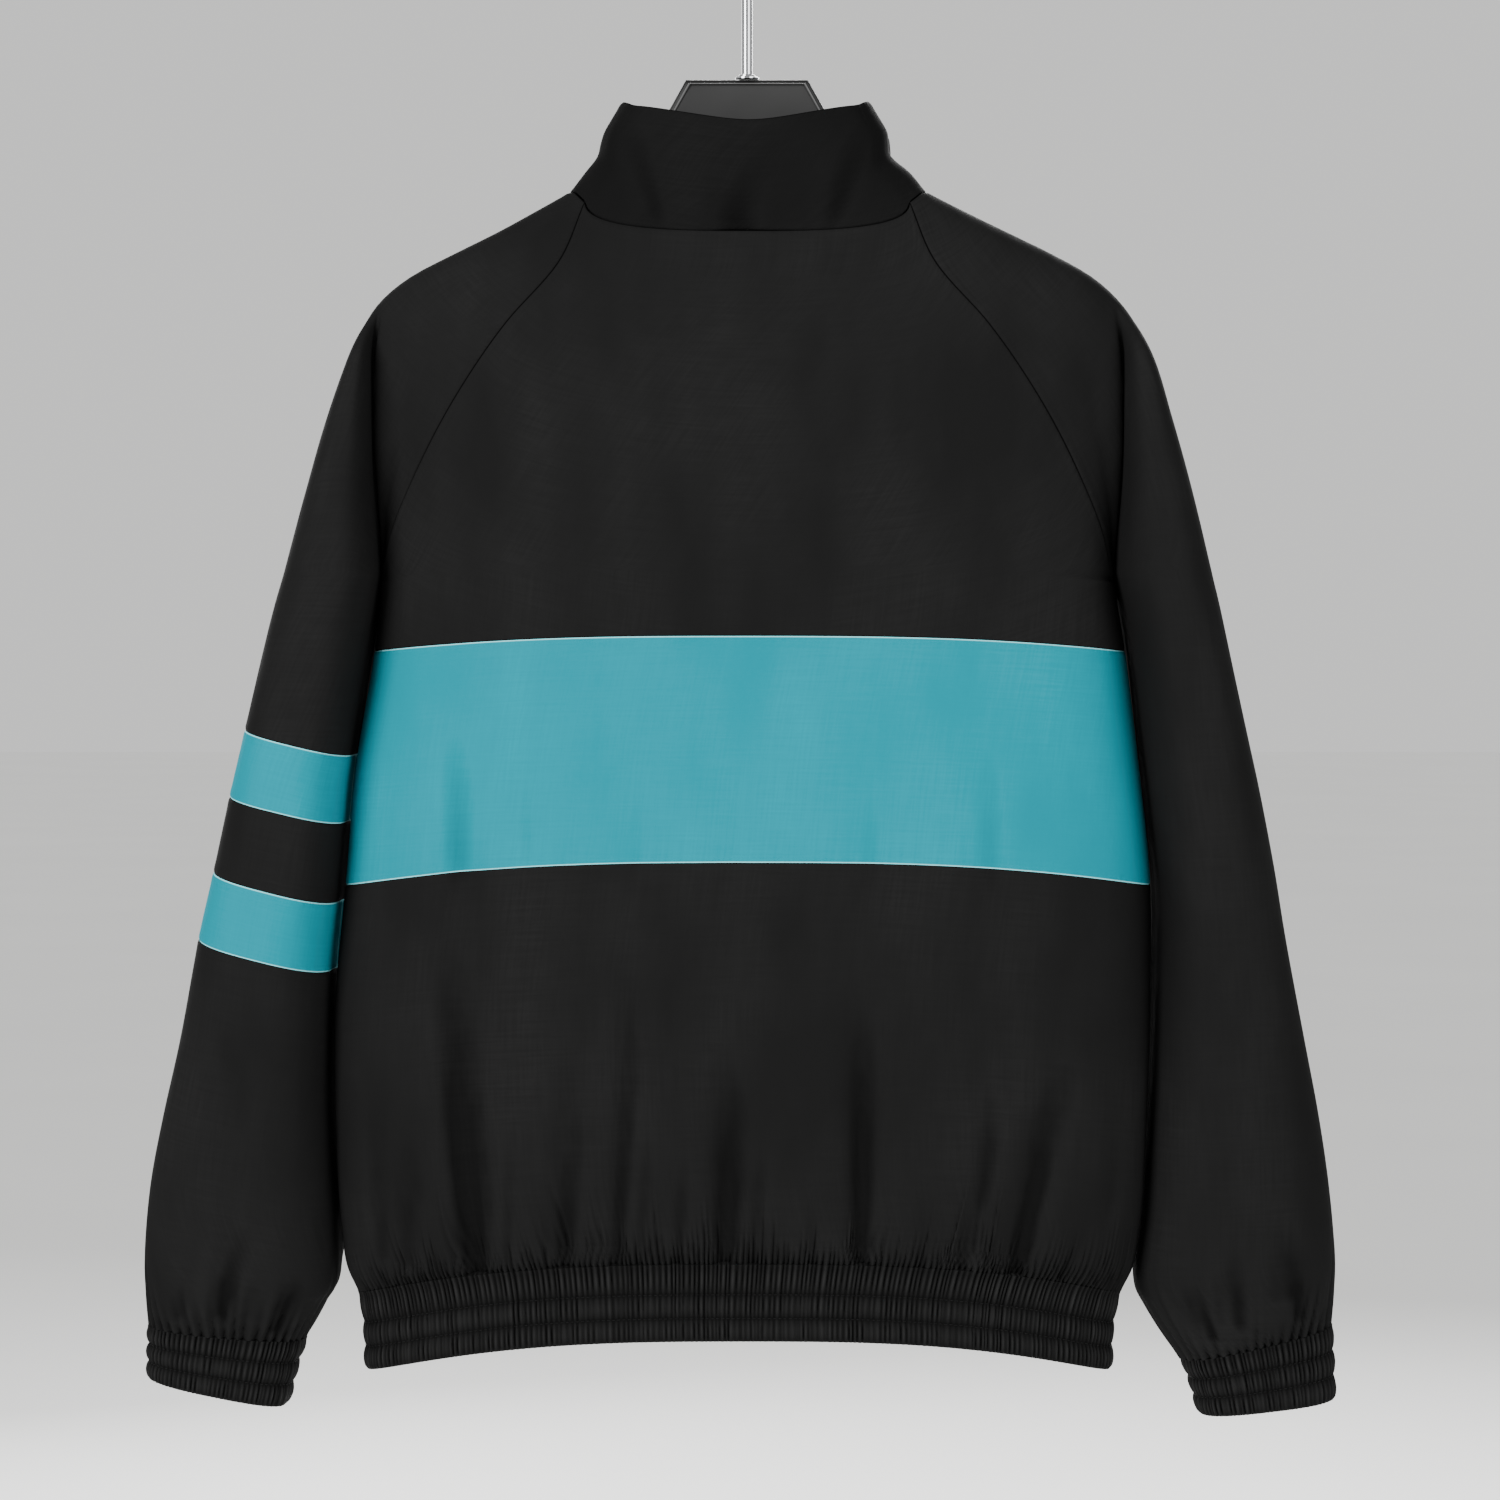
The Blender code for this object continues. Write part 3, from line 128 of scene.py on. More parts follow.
def finished(material, base, layers, rough, bumps, values):
    # layers: what lays a colour over the base, from and to which value, how much at most, and the colour
    # rough: what changes the roughness, and its ends; bumps: height, depth and strength
    tree = material.node_tree
    inputs = {"Base Color": linear(base), **values}
    for driver, start, full, most, colour in layers:
        share = addNode(tree, "ShaderNodeMapRange", {0: driver, 1: start, 2: full, 4: most})
        inputs["Base Color"] = addNode(
            tree, "ShaderNodeMix", {0: share, 6: inputs["Base Color"], 7: linear(colour)}, 2,
            data_type="RGBA")
    if rough:
        driver, least, most = rough
        inputs["Roughness"] = addNode(tree, "ShaderNodeMapRange",
                                      {0: driver, 1: 0.3, 2: 0.7, 3: least, 4: most})
    under = {}
    for height, depth, strength in bumps:
        under["Normal"] = addNode(
            tree, "ShaderNodeBump", {"Height": height, "Distance": depth, "Strength": strength, **under})
    fillSockets(tree, tree.nodes["Principled BSDF"], {**inputs, **under})
    return material


nylon = {
    "roughness": 0.66, "specular": 0.005,
    "ridgeHighlight": 0.20,                  # painted highlight: how much at most the ridges beside folds are painted paler; the bottoms of folds take painted shade
    "slubWidth": 1.6 * millimetre,       # the threads are about 0.15 mm apart, drawn coarser to show
    "slubLength": 38 * millimetre,
    "creaseSize": 60 * millimetre,       # soft creases of cloth that has been folded and hung
    "crinkleSize": 11 * millimetre,
    "puckerSize": 5 * millimetre,        # cloth pulled up by the thread of a seam
    "puckerReach": 6 * millimetre,
}


def wovenNylon(name, top, low, seam, seamWidth, ridge, shade, ragged):
    # nylon taffeta, plain woven and calendered on the back: matt, fine vertical threads, soft creases and
    # puckers at every seam;
    # painted shade deep in the folds, a painted highlight on their ridges, and the sewn edge in a painted
    # tone of its own
    width, thin = nylon["slubWidth"], nylon["slubWidth"] / nylon["slubLength"]
    material, tree, (slub, weft, crease, crinkle, pucker) = newMaterial(
        name, ("cloth", 1 / width, (1.0, thin, 1.0), 2.0, 0.5),
        ("cloth", 1 / width, (thin, 1.0, 1.0), 2.0, 0.5),
        ("object", 1 / nylon["creaseSize"], (1.0, 1.0, 0.45), 3.0, 0.45),
        ("object", 1 / nylon["crinkleSize"], (1.0, 1.0, 0.5), 2.0, 0.5),
        ("cloth", 1 / nylon["puckerSize"], (1.0, 1.0, 1.0), 1.0, 0.5))
    toSeam, hollow = [addNode(tree, "ShaderNodeAttribute", None, "Fac", attribute_name=attribute)
                      for attribute in ("seamDistance", "hollow")]
    # the painted shade in a fold has a ragged edge, and the puckers die away from their seam
    raggedness, inFold, nearSeam = [
        addNode(tree, "ShaderNodeMapRange", {0: driver, 1: start, 2: stop, 3: first, 4: last})
        for driver, start, stop, first, last in (
            (crinkle, 0.2, 0.8, -ragged, ragged), (hollow, 0.0, 0.4, 0.0, 1.0),
            (toSeam, 0.0, nylon["puckerReach"], 1.0, 0.0))]
    uneven, puckers = [addNode(tree, "ShaderNodeMath", {0: first, 1: second}, operation="MULTIPLY")
                       for first, second in ((raggedness, inFold), (pucker, nearSeam))]
    threads, paintedFoldShade = [addNode(tree, "ShaderNodeMath", {0: first, 1: second}, operation="ADD")
                     for first, second in ((slub, weft), (hollow, uneven))]
    # over the base: random tone, threads, painted shade in the folds (#020202), a painted highlight on their
    # ridges, and the sewn edge's painted tone from the seam colour
    return finished(
        material, low,
        ((crease, 0.35, 0.65, 1.0, top), (threads, 0.75, 1.25, 0.6, low), (paintedFoldShade, 0.05, 0.9, shade, "#020202"),
         (hollow, 0.0, -1.0, nylon["ridgeHighlight"], ridge), (toSeam, seamWidth, 0.55 * seamWidth, 1.0, seam)),
        (crinkle, nylon["roughness"] - 0.05, nylon["roughness"] + 0.06),
        ((crease, 1.1 * millimetre, 1.0), (crinkle, 0.16 * millimetre, 0.8), (puckers, 0.9 * millimetre, 1.0),
         (threads, 0.06 * millimetre, 0.6)),
        {"Specular IOR Level": nylon["specular"]})


# seam colour and width: the sewn edge painted dark as painted shade on black and pale as a painted highlight
# on teal; then the ridges' painted highlight colour, the folds' painted shade and its raggedness
blackNylon = wovenNylon("blackWovenNylon", "#1b1b1b", "#151515", "#060606", 0.6 * millimetre,
                        "#303030", 0.48, 0.20)
tealNylon = wovenNylon("tealWovenNylon", "#007c8a", "#007280", "#7cc6cd", 1.0 * millimetre,
                       "#18a4b2", 0.50, 0.0)
# the collar: a darker copy of the black nylon, painted shade over the collar
collarNylon = wovenNylon("blackWovenNylonCollar", "#151515", "#101010", "#060606", 0.6 * millimetre,
                         "#262626", 0.55, 0.05)

# the same nylon gathered over elastic: the ribs are real folds, their tops painted paler as a painted
# highlight and their grooves dark as painted shade
material, tree, (fine, crumple) = newMaterial(
    "gatheredNylonOverElastic", ("object", 900.0, (1.0, 1.0, 0.3), 2.0, 0.5),
    ("object", 160.0, (1.0, 1.0, 0.35), 2.0, 0.5))
height = addNode(tree, "ShaderNodeAttribute", None, "Fac", attribute_name="ribHeight")
elasticNylon = finished(material, "#080808", [(height, 0.15, 0.95, 1.0, "#202020")], (crumple, 0.62, 0.74),
                        [(crumple, 0.7 * millimetre, 1.0), (fine, 0.05 * millimetre, 0.6)],
                        {"Specular IOR Level": 0.04})

# polyester zip tape, woven in narrow ribs along its length
material, tree, (picks,) = newMaterial("wovenPolyesterTape", ("cloth", 1200.0, (0.3, 1.0, 1.0), 2.0, 0.5))
ribs = addNode(tree, "ShaderNodeTexWave",
               {"Vector": addNode(tree, "ShaderNodeUVMap", uv_map="cloth"), "Scale": 150.0,
                                           "Distortion": 0.6}, "Fac", wave_type="BANDS", bands_direction="X")
tapeMaterial = finished(material, "#0e0e0f", [(ribs, 0.0, 1.0, 1.0, "#1c1c1d")], None,
                        [(ribs, 0.12 * millimetre, 1.0), (picks, 0.08 * millimetre, 0.7)],
                        {"Roughness": 0.8, "Specular IOR Level": 0.25})


def mouldedPlastic(name, tone, lowTone, roughness, grain, specular):
    # injection-moulded plastic with a fine spark-eroded grain and a faint flow of tone; the arris mark paints
    # shade on the outer bevel and a highlight on the line inside it
    material, tree, (flow, fine) = newMaterial(name, ("object", 14.0, (1.0, 1.0, 1.0), 2.0, 0.5),
                                               ("object", 1 / grain, (1.0, 1.0, 1.0), 2.0, 0.5))
    arris = addNode(tree, "ShaderNodeAttribute", None, "Fac", attribute_name="arris")
    return finished(material, lowTone, ((flow, 0.35, 0.65, 1.0, tone), (arris, 0.0, -1.0, 0.8, "#040404"),
                                        (arris, 0.0, 1.0, 0.4, "#8c8c8c")),
                    (fine, roughness - 0.05, roughness + 0.07), [(fine, 0.05 * millimetre, 0.5)],
                    {"Specular IOR Level": specular})


acetalMaterial = mouldedPlastic("mouldedAcetal", "#222224", "#1a1a1b", 0.36, 1.0 * millimetre, 0.5)
hangerMaterial = mouldedPlastic("mouldedGreyPolypropylene", "#303030", "#292929", 0.46, 1.4 * millimetre,
                                0.12)

# steel rod, bright chrome plated after drawing: mirror-like with faint lines along the rod
material, tree, (lines, cloud) = newMaterial("chromePlatedSteel",
                                             ("object", 260.0, (1.0, 1.0, 0.02), 1.0, 0.5),
                                             ("object", 60.0, (1.0, 1.0, 1.0), 2.0, 0.5))
chromeMaterial = finished(material, "#a4a5a8", [(cloud, 0.0, 1.0, 1.0, "#b3b4b6")], (lines, 0.10, 0.14), [],
                          {"Metallic": 1.0})

# spun polyester thread, two plies twisted
material, tree, (ply,) = newMaterial("spunPolyesterThread", ("object", 2500.0, (1.0, 1.0, 1.0), 1.0, 0.5))
threadMaterial = finished(material, "#050505", [(ply, 0.0, 1.0, 1.0, "#0c0c0c")], None,
                          [(ply, 0.08 * millimetre, 1.0)], {"Roughness": 0.7, "Specular IOR Level": 0.2})
print("finishes ready")

studio = {
    "floorDrop": 0.75,                   # below the lowest cuff
    "floorSize": 60.0,
    "floor": "#fafaf9", "floorLow": "#f7f7f6", "air": "#dededd", "airStrength": 1.12,
    # place, what it looks at, size in metres and power in watts
    "lamps": [
        ((2.2, 2.6, 1.1), (0.0, 0.0, -0.45), 1.8, 190.0),
        ((-2.4, 2.8, 0.0), (0.0, 0.0, -0.50), 2.0, 80.0),
        ((-0.7, -3.3, 1.1), (0.0, 0.0, -0.45), 1.8, 170.0),
        ((1.1, -3.3, 0.0), (0.0, 0.0, -0.50), 2.0, 50.0),
    ],
}


def buildStudio():
    # a painted floor, even air and four softboxes
    floorMesh = bpy.data.meshes.new("floor")
    half = studio["floorSize"] / 2
    z = cadBox[0].z - studio["floorDrop"]
    floorMesh.from_pydata([(-half, -half, z), (half, -half, z), (half, half, z), (-half, half, z)], [],
                          [(0, 1, 2, 3)])
    material, _, (cloud,) = newMaterial("paintedFloor", ("object", 1.2, (1.0, 1.0, 1.0), 2.0, 0.5))
    floorMesh.materials.append(finished(material, studio["floor"],
                                        [(cloud, 0.3, 0.7, 1.0, studio["floorLow"])], None,
                                        [], {"Roughness": 0.85, "Specular IOR Level": 0.2}))
    placed("floor", floorMesh)
    world = bpy.context.scene.world or bpy.data.worlds.new("studio")
    bpy.context.scene.world = world
    world.use_nodes = True
    fillSockets(world.node_tree, world.node_tree.nodes["Background"],
                {"Color": linear(studio["air"]), "Strength": studio["airStrength"]})
    for number, (place, target, size, power) in enumerate(studio["lamps"]):
        lamp = bpy.data.lights.new(f"softbox{number}", "AREA")
        applySettings(lamp, {"shape": "SQUARE", "size": size, "energy": power})
        facing = (Vector(target) - Vector(place)).to_track_quat("-Z", "Y").to_euler()
        placed(lamp.name, lamp, location=place, rotation_euler=facing)


buildStudio()
print("camera, floor and light ready")


def table(columns, *rows):
    # rows of numbers as one array for each named column
    return {name: np.array(values, float) for name, values in zip(columns.split(), zip(*rows))}


def read(rows, column, at):
    # a column's value at a height or step, on a smooth curve through the rows
    key = "z" if "z" in rows else "t"
    direction = -1.0 if key == "z" else 1.0
    places = rows[key] * direction
    values = rows[column]
    slopes = np.gradient(values, places)
    where = np.clip(np.asarray(at, float) * direction, places[0], places[-1])
    i = np.clip(np.searchsorted(places, where) - 1, 0, len(places) - 2)
    span = places[i + 1] - places[i]
    u = (where - places[i]) / span
    return ((2 * u**3 - 3 * u**2 + 1) * values[i] + (u**3 - 2 * u**2 + u) * span * slopes[i]
            + (3 * u**2 - 2 * u**3) * values[i + 1] + (u**3 - u**2) * span * slopes[i + 1])


# the garment's form, section by section
form = {
    "power": 2.8, "sleevePower": 2.7,    # superellipse powers of the sections
    "neckSideZ": -0.1895, "underarmZ": -0.435, "outerLift": 0.007,
    "bandTopZ": -0.4775, "bandBottomZ": -0.6240, "hemTopZ": -0.8788,
    "backNeckZ": -0.2174, "frontNeckZ": -0.2380,
    "frontEdge": 0.0045, "sleeveClearance": 0.003,
    "valleyShare": 0.6, "leastHeadWidth": 0.006, "leastSleeveWidth": 0.002,
    "lip": 0.0055, "lipFrom": 0.5, "lipRise": 0.35, "lipEnd": 0.10,
    # points of a half row above the underarm, of a level line, and of a sleeve head up to and past its valley
    "halfPoints": 240, "levelPoints": 481, "nearPoints": 80, "farPoints": 110,
    "blendTopZ": -0.2570, "blendBottomZ": -0.2970,
    # outermost half-width of shoulders and sleeves
    "outline": table(
        "z        left     right",
        (-0.1890, 0.1105, 0.1115), (-0.2020, 0.1335, 0.1377), (-0.2150, 0.1573, 0.1645),
        (-0.2280, 0.1838, 0.1910), (-0.2415, 0.2101, 0.2151), (-0.2570, 0.2298, 0.2331),
        (-0.2750, 0.2408, 0.2448), (-0.2970, 0.2502, 0.2550), (-0.3310, 0.2628, 0.2654),
        (-0.3800, 0.2774, 0.2790), (-0.4350, 0.2916, 0.2930)),
    # half-widths of the body itself
    "body": table(
        "z        left     right",
        (-0.1890, 0.2300, 0.2310), (-0.3000, 0.2300, 0.2312), (-0.3800, 0.2293, 0.2310),
        (-0.4350, 0.2293, 0.2312), (-0.4780, 0.2335, 0.2375), (-0.5400, 0.2444, 0.2454),
        (-0.6240, 0.2526, 0.2540), (-0.7000, 0.2592, 0.2535), (-0.7790, 0.2583, 0.2505),
        (-0.8400, 0.2545, 0.2462), (-0.8660, 0.2500, 0.2410), (-0.8788, 0.2440, 0.2345),
        (-0.9030, 0.2405, 0.2300), (-0.9280, 0.2395, 0.2290)),
    "depth": table(
        "z        back    front   sleeve  valley",
        (-0.1890, 0.0420, 0.0420, 0.0420, 0.0200), (-0.2050, 0.0455, 0.0455, 0.0440, 0.0210),
        (-0.2180, 0.0500, 0.0500, 0.0450, 0.0220), (-0.2570, 0.0550, 0.0540, 0.0480, 0.0250),
        (-0.2970, 0.0590, 0.0570, 0.0520, 0.0250), (-0.3400, 0.0615, 0.0590, 0.0565, 0.0210),
        (-0.3800, 0.0625, 0.0600, 0.0610, 0.0150), (-0.4200, 0.0630, 0.0605, 0.0650, 0.0060),
        (-0.4350, 0.0635, 0.0610, 0.0660, 0.0000), (-0.4780, 0.0650, 0.0620, 0.0700, 0.0000),
        (-0.6240, 0.0680, 0.0650, 0.0700, 0.0000), (-0.7200, 0.0700, 0.0670, 0.0700, 0.0000),
        (-0.8200, 0.0680, 0.0650, 0.0700, 0.0000), (-0.8600, 0.0620, 0.0600, 0.0700, 0.0000),
        (-0.8788, 0.0560, 0.0545, 0.0700, 0.0000), (-0.9280, 0.0520, 0.0510, 0.0700, 0.0000)),
    "raglan": {
        "back": table("z x", (-0.1983, 0.1010), (-0.2364, 0.1163), (-0.2743, 0.1489), (-0.3193, 0.1800),
                      (-0.3691, 0.2069), (-0.4083, 0.2235), (-0.4350, 0.2293)),
        "front": table("z x", (-0.2170, 0.0870), (-0.2480, 0.1060), (-0.2820, 0.1380), (-0.3240, 0.1720),
                       (-0.3710, 0.2020), (-0.4090, 0.2220), (-0.4350, 0.2293)),
    },
    # how far a level line rises from the sides to the middle
    "levels": table(
        "z        back    front",
        (-0.4350, 0.0080, 0.0040), (-0.4775, 0.0100, 0.0050), (-0.6240, 0.0175, 0.0080),
        (-0.8788, 0.0258, 0.0100), (-0.9280, 0.0252, 0.0100)),
}
# largest folds of the body, from top through a middle to the hem
bodyFolds = {
    "fade": 0.65, "end": 0.0140, "sharpness": 1.2, "sideDepth": 0.020,
    "back": table(
        "xTop    zTop    xMid     zMid    xLow     zLow    depth   halfWidth",
        (0.2080, -0.745, 0.2095, -0.800, 0.2107, -0.850, 0.0025, 0.018),
        (0.1790, -0.480, 0.1755, -0.700, 0.1660, -0.852, 0.0060, 0.017),
        (0.0961, -0.680, 0.1078, -0.790, 0.1115, -0.852, 0.0040, 0.014),
        (0.0686, -0.610, 0.0740, -0.740, 0.0876, -0.852, 0.0045, 0.014),
        (0.0104, -0.700, 0.0122, -0.770, 0.0171, -0.852, 0.0050, 0.014),
        (-0.0723, -0.650, -0.0710, -0.760, -0.0698, -0.852, 0.0060, 0.013),
        (-0.1427, -0.720, -0.1494, -0.770, -0.1286, -0.852, 0.0045, 0.015),
        (-0.2039, -0.715, -0.1837, -0.765, -0.1611, -0.852, 0.0050, 0.017)),
    "front": table(
        "xTop    zTop    xMid     zMid    xLow     zLow    depth   halfWidth",
        (0.1900, -0.500, 0.1840, -0.700, 0.1720, -0.864, 0.0055, 0.018),
        (0.1250, -0.690, 0.1300, -0.780, 0.1330, -0.866, 0.0040, 0.015),
        (0.0600, -0.640, 0.0680, -0.760, 0.0780, -0.868, 0.0050, 0.015),
        (-0.0520, -0.660, -0.0600, -0.760, -0.0680, -0.868, 0.0045, 0.015),
        (-0.1180, -0.700, -0.1250, -0.780, -0.1200, -0.866, 0.0040, 0.015),
        (-0.1850, -0.620, -0.1800, -0.740, -0.1700, -0.864, 0.0055, 0.018)),
}


def smoothstep(value):
    value = np.clip(value, 0.0, 1.0)
    return value * value * (3 - 2 * value)


def angleAtX(x, halfWidth):
    return np.arccos(np.clip(x / halfWidth, 0.0, 1.0) ** (form["power"] / 2))


def onSection(angle, halfWidth, halfDepth, power=None):
    power = power or form["power"]
    x = halfWidth * np.sign(np.cos(angle)) * np.abs(np.cos(angle)) ** (2 / power)
    y = halfDepth * np.sign(np.sin(angle)) * np.abs(np.sin(angle)) ** (2 / power)
    return x, y


def resample(points, fractions):
    # points at given shares of a line's length
    steps = np.linalg.norm(np.diff(points, axis=0), axis=1)
    run = np.concatenate([[0.0], np.cumsum(steps)])
    if run[-1] < 1e-9:
        return np.repeat(points[:1], len(fractions), axis=0)
    places = np.asarray(fractions) * run[-1]
    return np.stack([np.interp(places, run, points[:, k]) for k in range(3)], axis=1)


def fineSteps(length, step, start=True, end=True):
    # even shares of a length, closer together beside a sewn edge
    beside = np.array([0.0, 0.5, 1.1, 2.0, 3.4]) * millimetre
    first = beside if start else np.array([0.0])
    last = beside if end else np.array([0.0])
    count = max(2, int(round((length - first[-1] - last[-1]) / step)))
    middle = np.linspace(first[-1], length - last[-1], count + 1)[1:-1]
    return np.concatenate([first, middle, length - last[::-1]]) / length


def apart(z):
    return smoothstep((form["blendTopZ"] - z) / (form["blendTopZ"] - form["blendBottomZ"]))


def seamHeight(face, t):
    top = form["raglan"][face]["z"][0]
    return top + (form["underarmZ"] - top) * t


def bodyWidth(side, face, z):
    share = read(form["depth"], "valley", z) / read(form["depth"], face, z)
    return read(form["body"], side, z) / (1 - share ** form["power"]) ** (1 / form["power"])


def bodyPoint(angleJoined, angleApart, z, side, face):
    share = apart(z)
    depth = read(form["depth"], face, z)
    joinedX, joinedY = onSection(angleJoined, read(form["outline"], side, z), depth)
    apartX, apartY = onSection(angleApart, bodyWidth(side, face, z), depth)
    return joinedX * (1 - share) + apartX * share, joinedY * (1 - share) + apartY * share


def headHalf(side, face, t):
    # half a row of a sleeve head: raglan seam to valley, and valley to outer edge
    seamZ = float(seamHeight(face, t))
    outerZ = form["neckSideZ"] + (form["underarmZ"] + form["outerLift"] - form["neckSideZ"]) * t
    startX = float(read(form["raglan"][face], "x", seamZ))
    valleyShare = form["valleyShare"]
    near = np.linspace(0.0, valleyShare, form["nearPoints"])
    far = np.linspace(valleyShare, 1.0, form["farPoints"])
    nearZ, farZ = [outerZ + (seamZ - outerZ) * (1 - span) ** 2 for span in (near, far)]
    valleyZ = nearZ[-1]
    outline = float(read(form["outline"], side, valleyZ))
    body = float(read(form["body"], side, valleyZ))
    headWidth = min(max(outline - body, form["leastHeadWidth"]), (outline - startX) / 2)
    nearShare = near / valleyShare
    farShare = (far - valleyShare) / (1 - valleyShare)

    fromAngle = angleAtX(startX, read(form["outline"], side, seamZ))
    midAngle = angleAtX(outline - headWidth, outline)
    valleyY = float(read(form["depth"], "valley", valleyZ))
    bodyDepth = float(read(form["depth"], face, valleyZ))
    fromApart = angleAtX(startX, bodyWidth(side, face, seamZ))
    valleyAngle = min(np.arcsin(min(valleyY / bodyDepth, 1.0) ** (form["power"] / 2)), fromApart)
    nearX, nearY = bodyPoint(fromAngle + (midAngle - fromAngle) * nearShare,
                             fromApart + (valleyAngle - fromApart) * nearShare, nearZ, side, face)

    lip = form["lip"] * apart(nearZ) * min(1.0, (1 - t) * 3)
    lip = (lip * smoothstep((nearShare - form["lipFrom"]) / form["lipRise"])
           * smoothstep((1 - nearShare) / form["lipEnd"]))
    nearX, nearY = nearX + lip, nearY + 0.5 * lip

    share = apart(farZ)
    outer = read(form["outline"], side, farZ)
    joinedX, joinedY = onSection(midAngle * (1 - farShare), outer, read(form["depth"], face, farZ))
    inner = read(form["body"], side, farZ) + form["sleeveClearance"] * min(1.0, (1 - t) * 4)
    halfWidth = np.maximum(outer - inner, form["leastSleeveWidth"]) / 2
    sleeveDepth = read(form["depth"], "sleeve", farZ)
    startAngle = math.pi - np.arcsin(np.clip(valleyY / sleeveDepth[0], 0, 1) ** (form["sleevePower"] / 2))
    sleeveX, sleeveY = onSection(startAngle * (1 - farShare), halfWidth, sleeveDepth, form["sleevePower"])
    farX = joinedX * (1 - share) + (outer - halfWidth + sleeveX) * share
    farY = joinedY * (1 - share) + sleeveY * share

    nearX[-1] = farX[0] = (nearX[-1] + farX[0]) / 2
    nearY[-1] = farY[0] = (nearY[-1] + farY[0]) / 2
    toward = (sideSign[side], faceSign[face], 1.0)
    return np.stack([nearX, nearY, nearZ], axis=1) * toward, np.stack([farX, farY, farZ], axis=1) * toward


def underarmPoint(side):
    return np.array([sideSign[side] * float(read(form["body"], side, form["underarmZ"])), 0.0,
                     form["underarmZ"]])


def folded(points, face, sideZ):
    # a level line with the large folds pressed in
    rows = bodyFolds[face]
    z = points[:, 2]
    press = np.zeros(len(points))
    for xTop, zTop, xMid, zMid, xLow, zLow, depth, halfWidth in zip(*rows.values()):
        centre = np.polyval(np.polyfit([zTop, zMid, zLow], [xTop, xMid, xLow], 2), np.clip(z, zLow, zTop))
        along = (zTop - z) / (zTop - zLow)
        across = np.abs(points[:, 0] - centre) / halfWidth
        press += depth * smoothstep(along / bodyFolds["fade"]) * np.exp(-across**2 * bodyFolds["sharpness"])
    moved = points.copy()
    fromSide = smoothstep(np.abs(points[:, 1]) / bodyFolds["sideDepth"])
    fromHem = smoothstep((sideZ - form["hemTopZ"]) / bodyFolds["end"])
    moved[:, 1] -= faceSign[face] * press * fromSide * fromHem
    return moved


def levelLine(face, sideZ):
    # a level section of the body's back or front, from the left side to the right one
    angle = np.linspace(0.0, math.pi, form["levelPoints"])
    z = sideZ + float(read(form["levels"], face, sideZ)) * np.sin(angle) ** 2
    halfWidth = np.where(angle <= math.pi / 2, read(form["body"], "left", z), read(form["body"], "right", z))
    x, y = onSection(angle, halfWidth, read(form["depth"], face, z))
    return np.stack([x, y * faceSign[face], z], axis=1)


def betweenSeams(face, t):
    # a row of the body above the underarm, from the left raglan seam to the right one
    middleTop = form["backNeckZ"] if face == "back" else form["frontNeckZ"]
    rise = float(read(form["levels"], face, form["underarmZ"]))
    middleZ = middleTop + (form["underarmZ"] + rise - middleTop) * t
    seamZ = float(seamHeight(face, t))
    startX = float(read(form["raglan"][face], "x", seamZ))
    halves = []
    for side in ("left", "right"):
        span = np.linspace(0.0, 1.0, form["halfPoints"])
        shape = (1 - span) ** 2 * (1 - t) + np.cos(span * math.pi / 2) ** 2 * t
        z = middleZ + (seamZ - middleZ) * shape
        angles = [start + (math.pi / 2 - start) * span for start in (
            float(angleAtX(startX, width)) for width in (read(form["outline"], side, seamZ),
                                                         bodyWidth(side, face, seamZ)))]
        x, y = bodyPoint(*angles, z, side, face)
        halves.append(np.stack([x, y, z], axis=1) * (sideSign[side], faceSign[face], 1.0))
    return np.concatenate([halves[0], halves[1][::-1][1:]])


def cutAtZip(line):
    # a front row as its left and right parts
    edge = form["frontEdge"]
    halves = ((line[line[:, 0] > edge], edge), (line[line[:, 0] < -edge][::-1], -edge))
    return [np.concatenate([part, [(x, *part[-1][1:])]]) for part, x in halves]
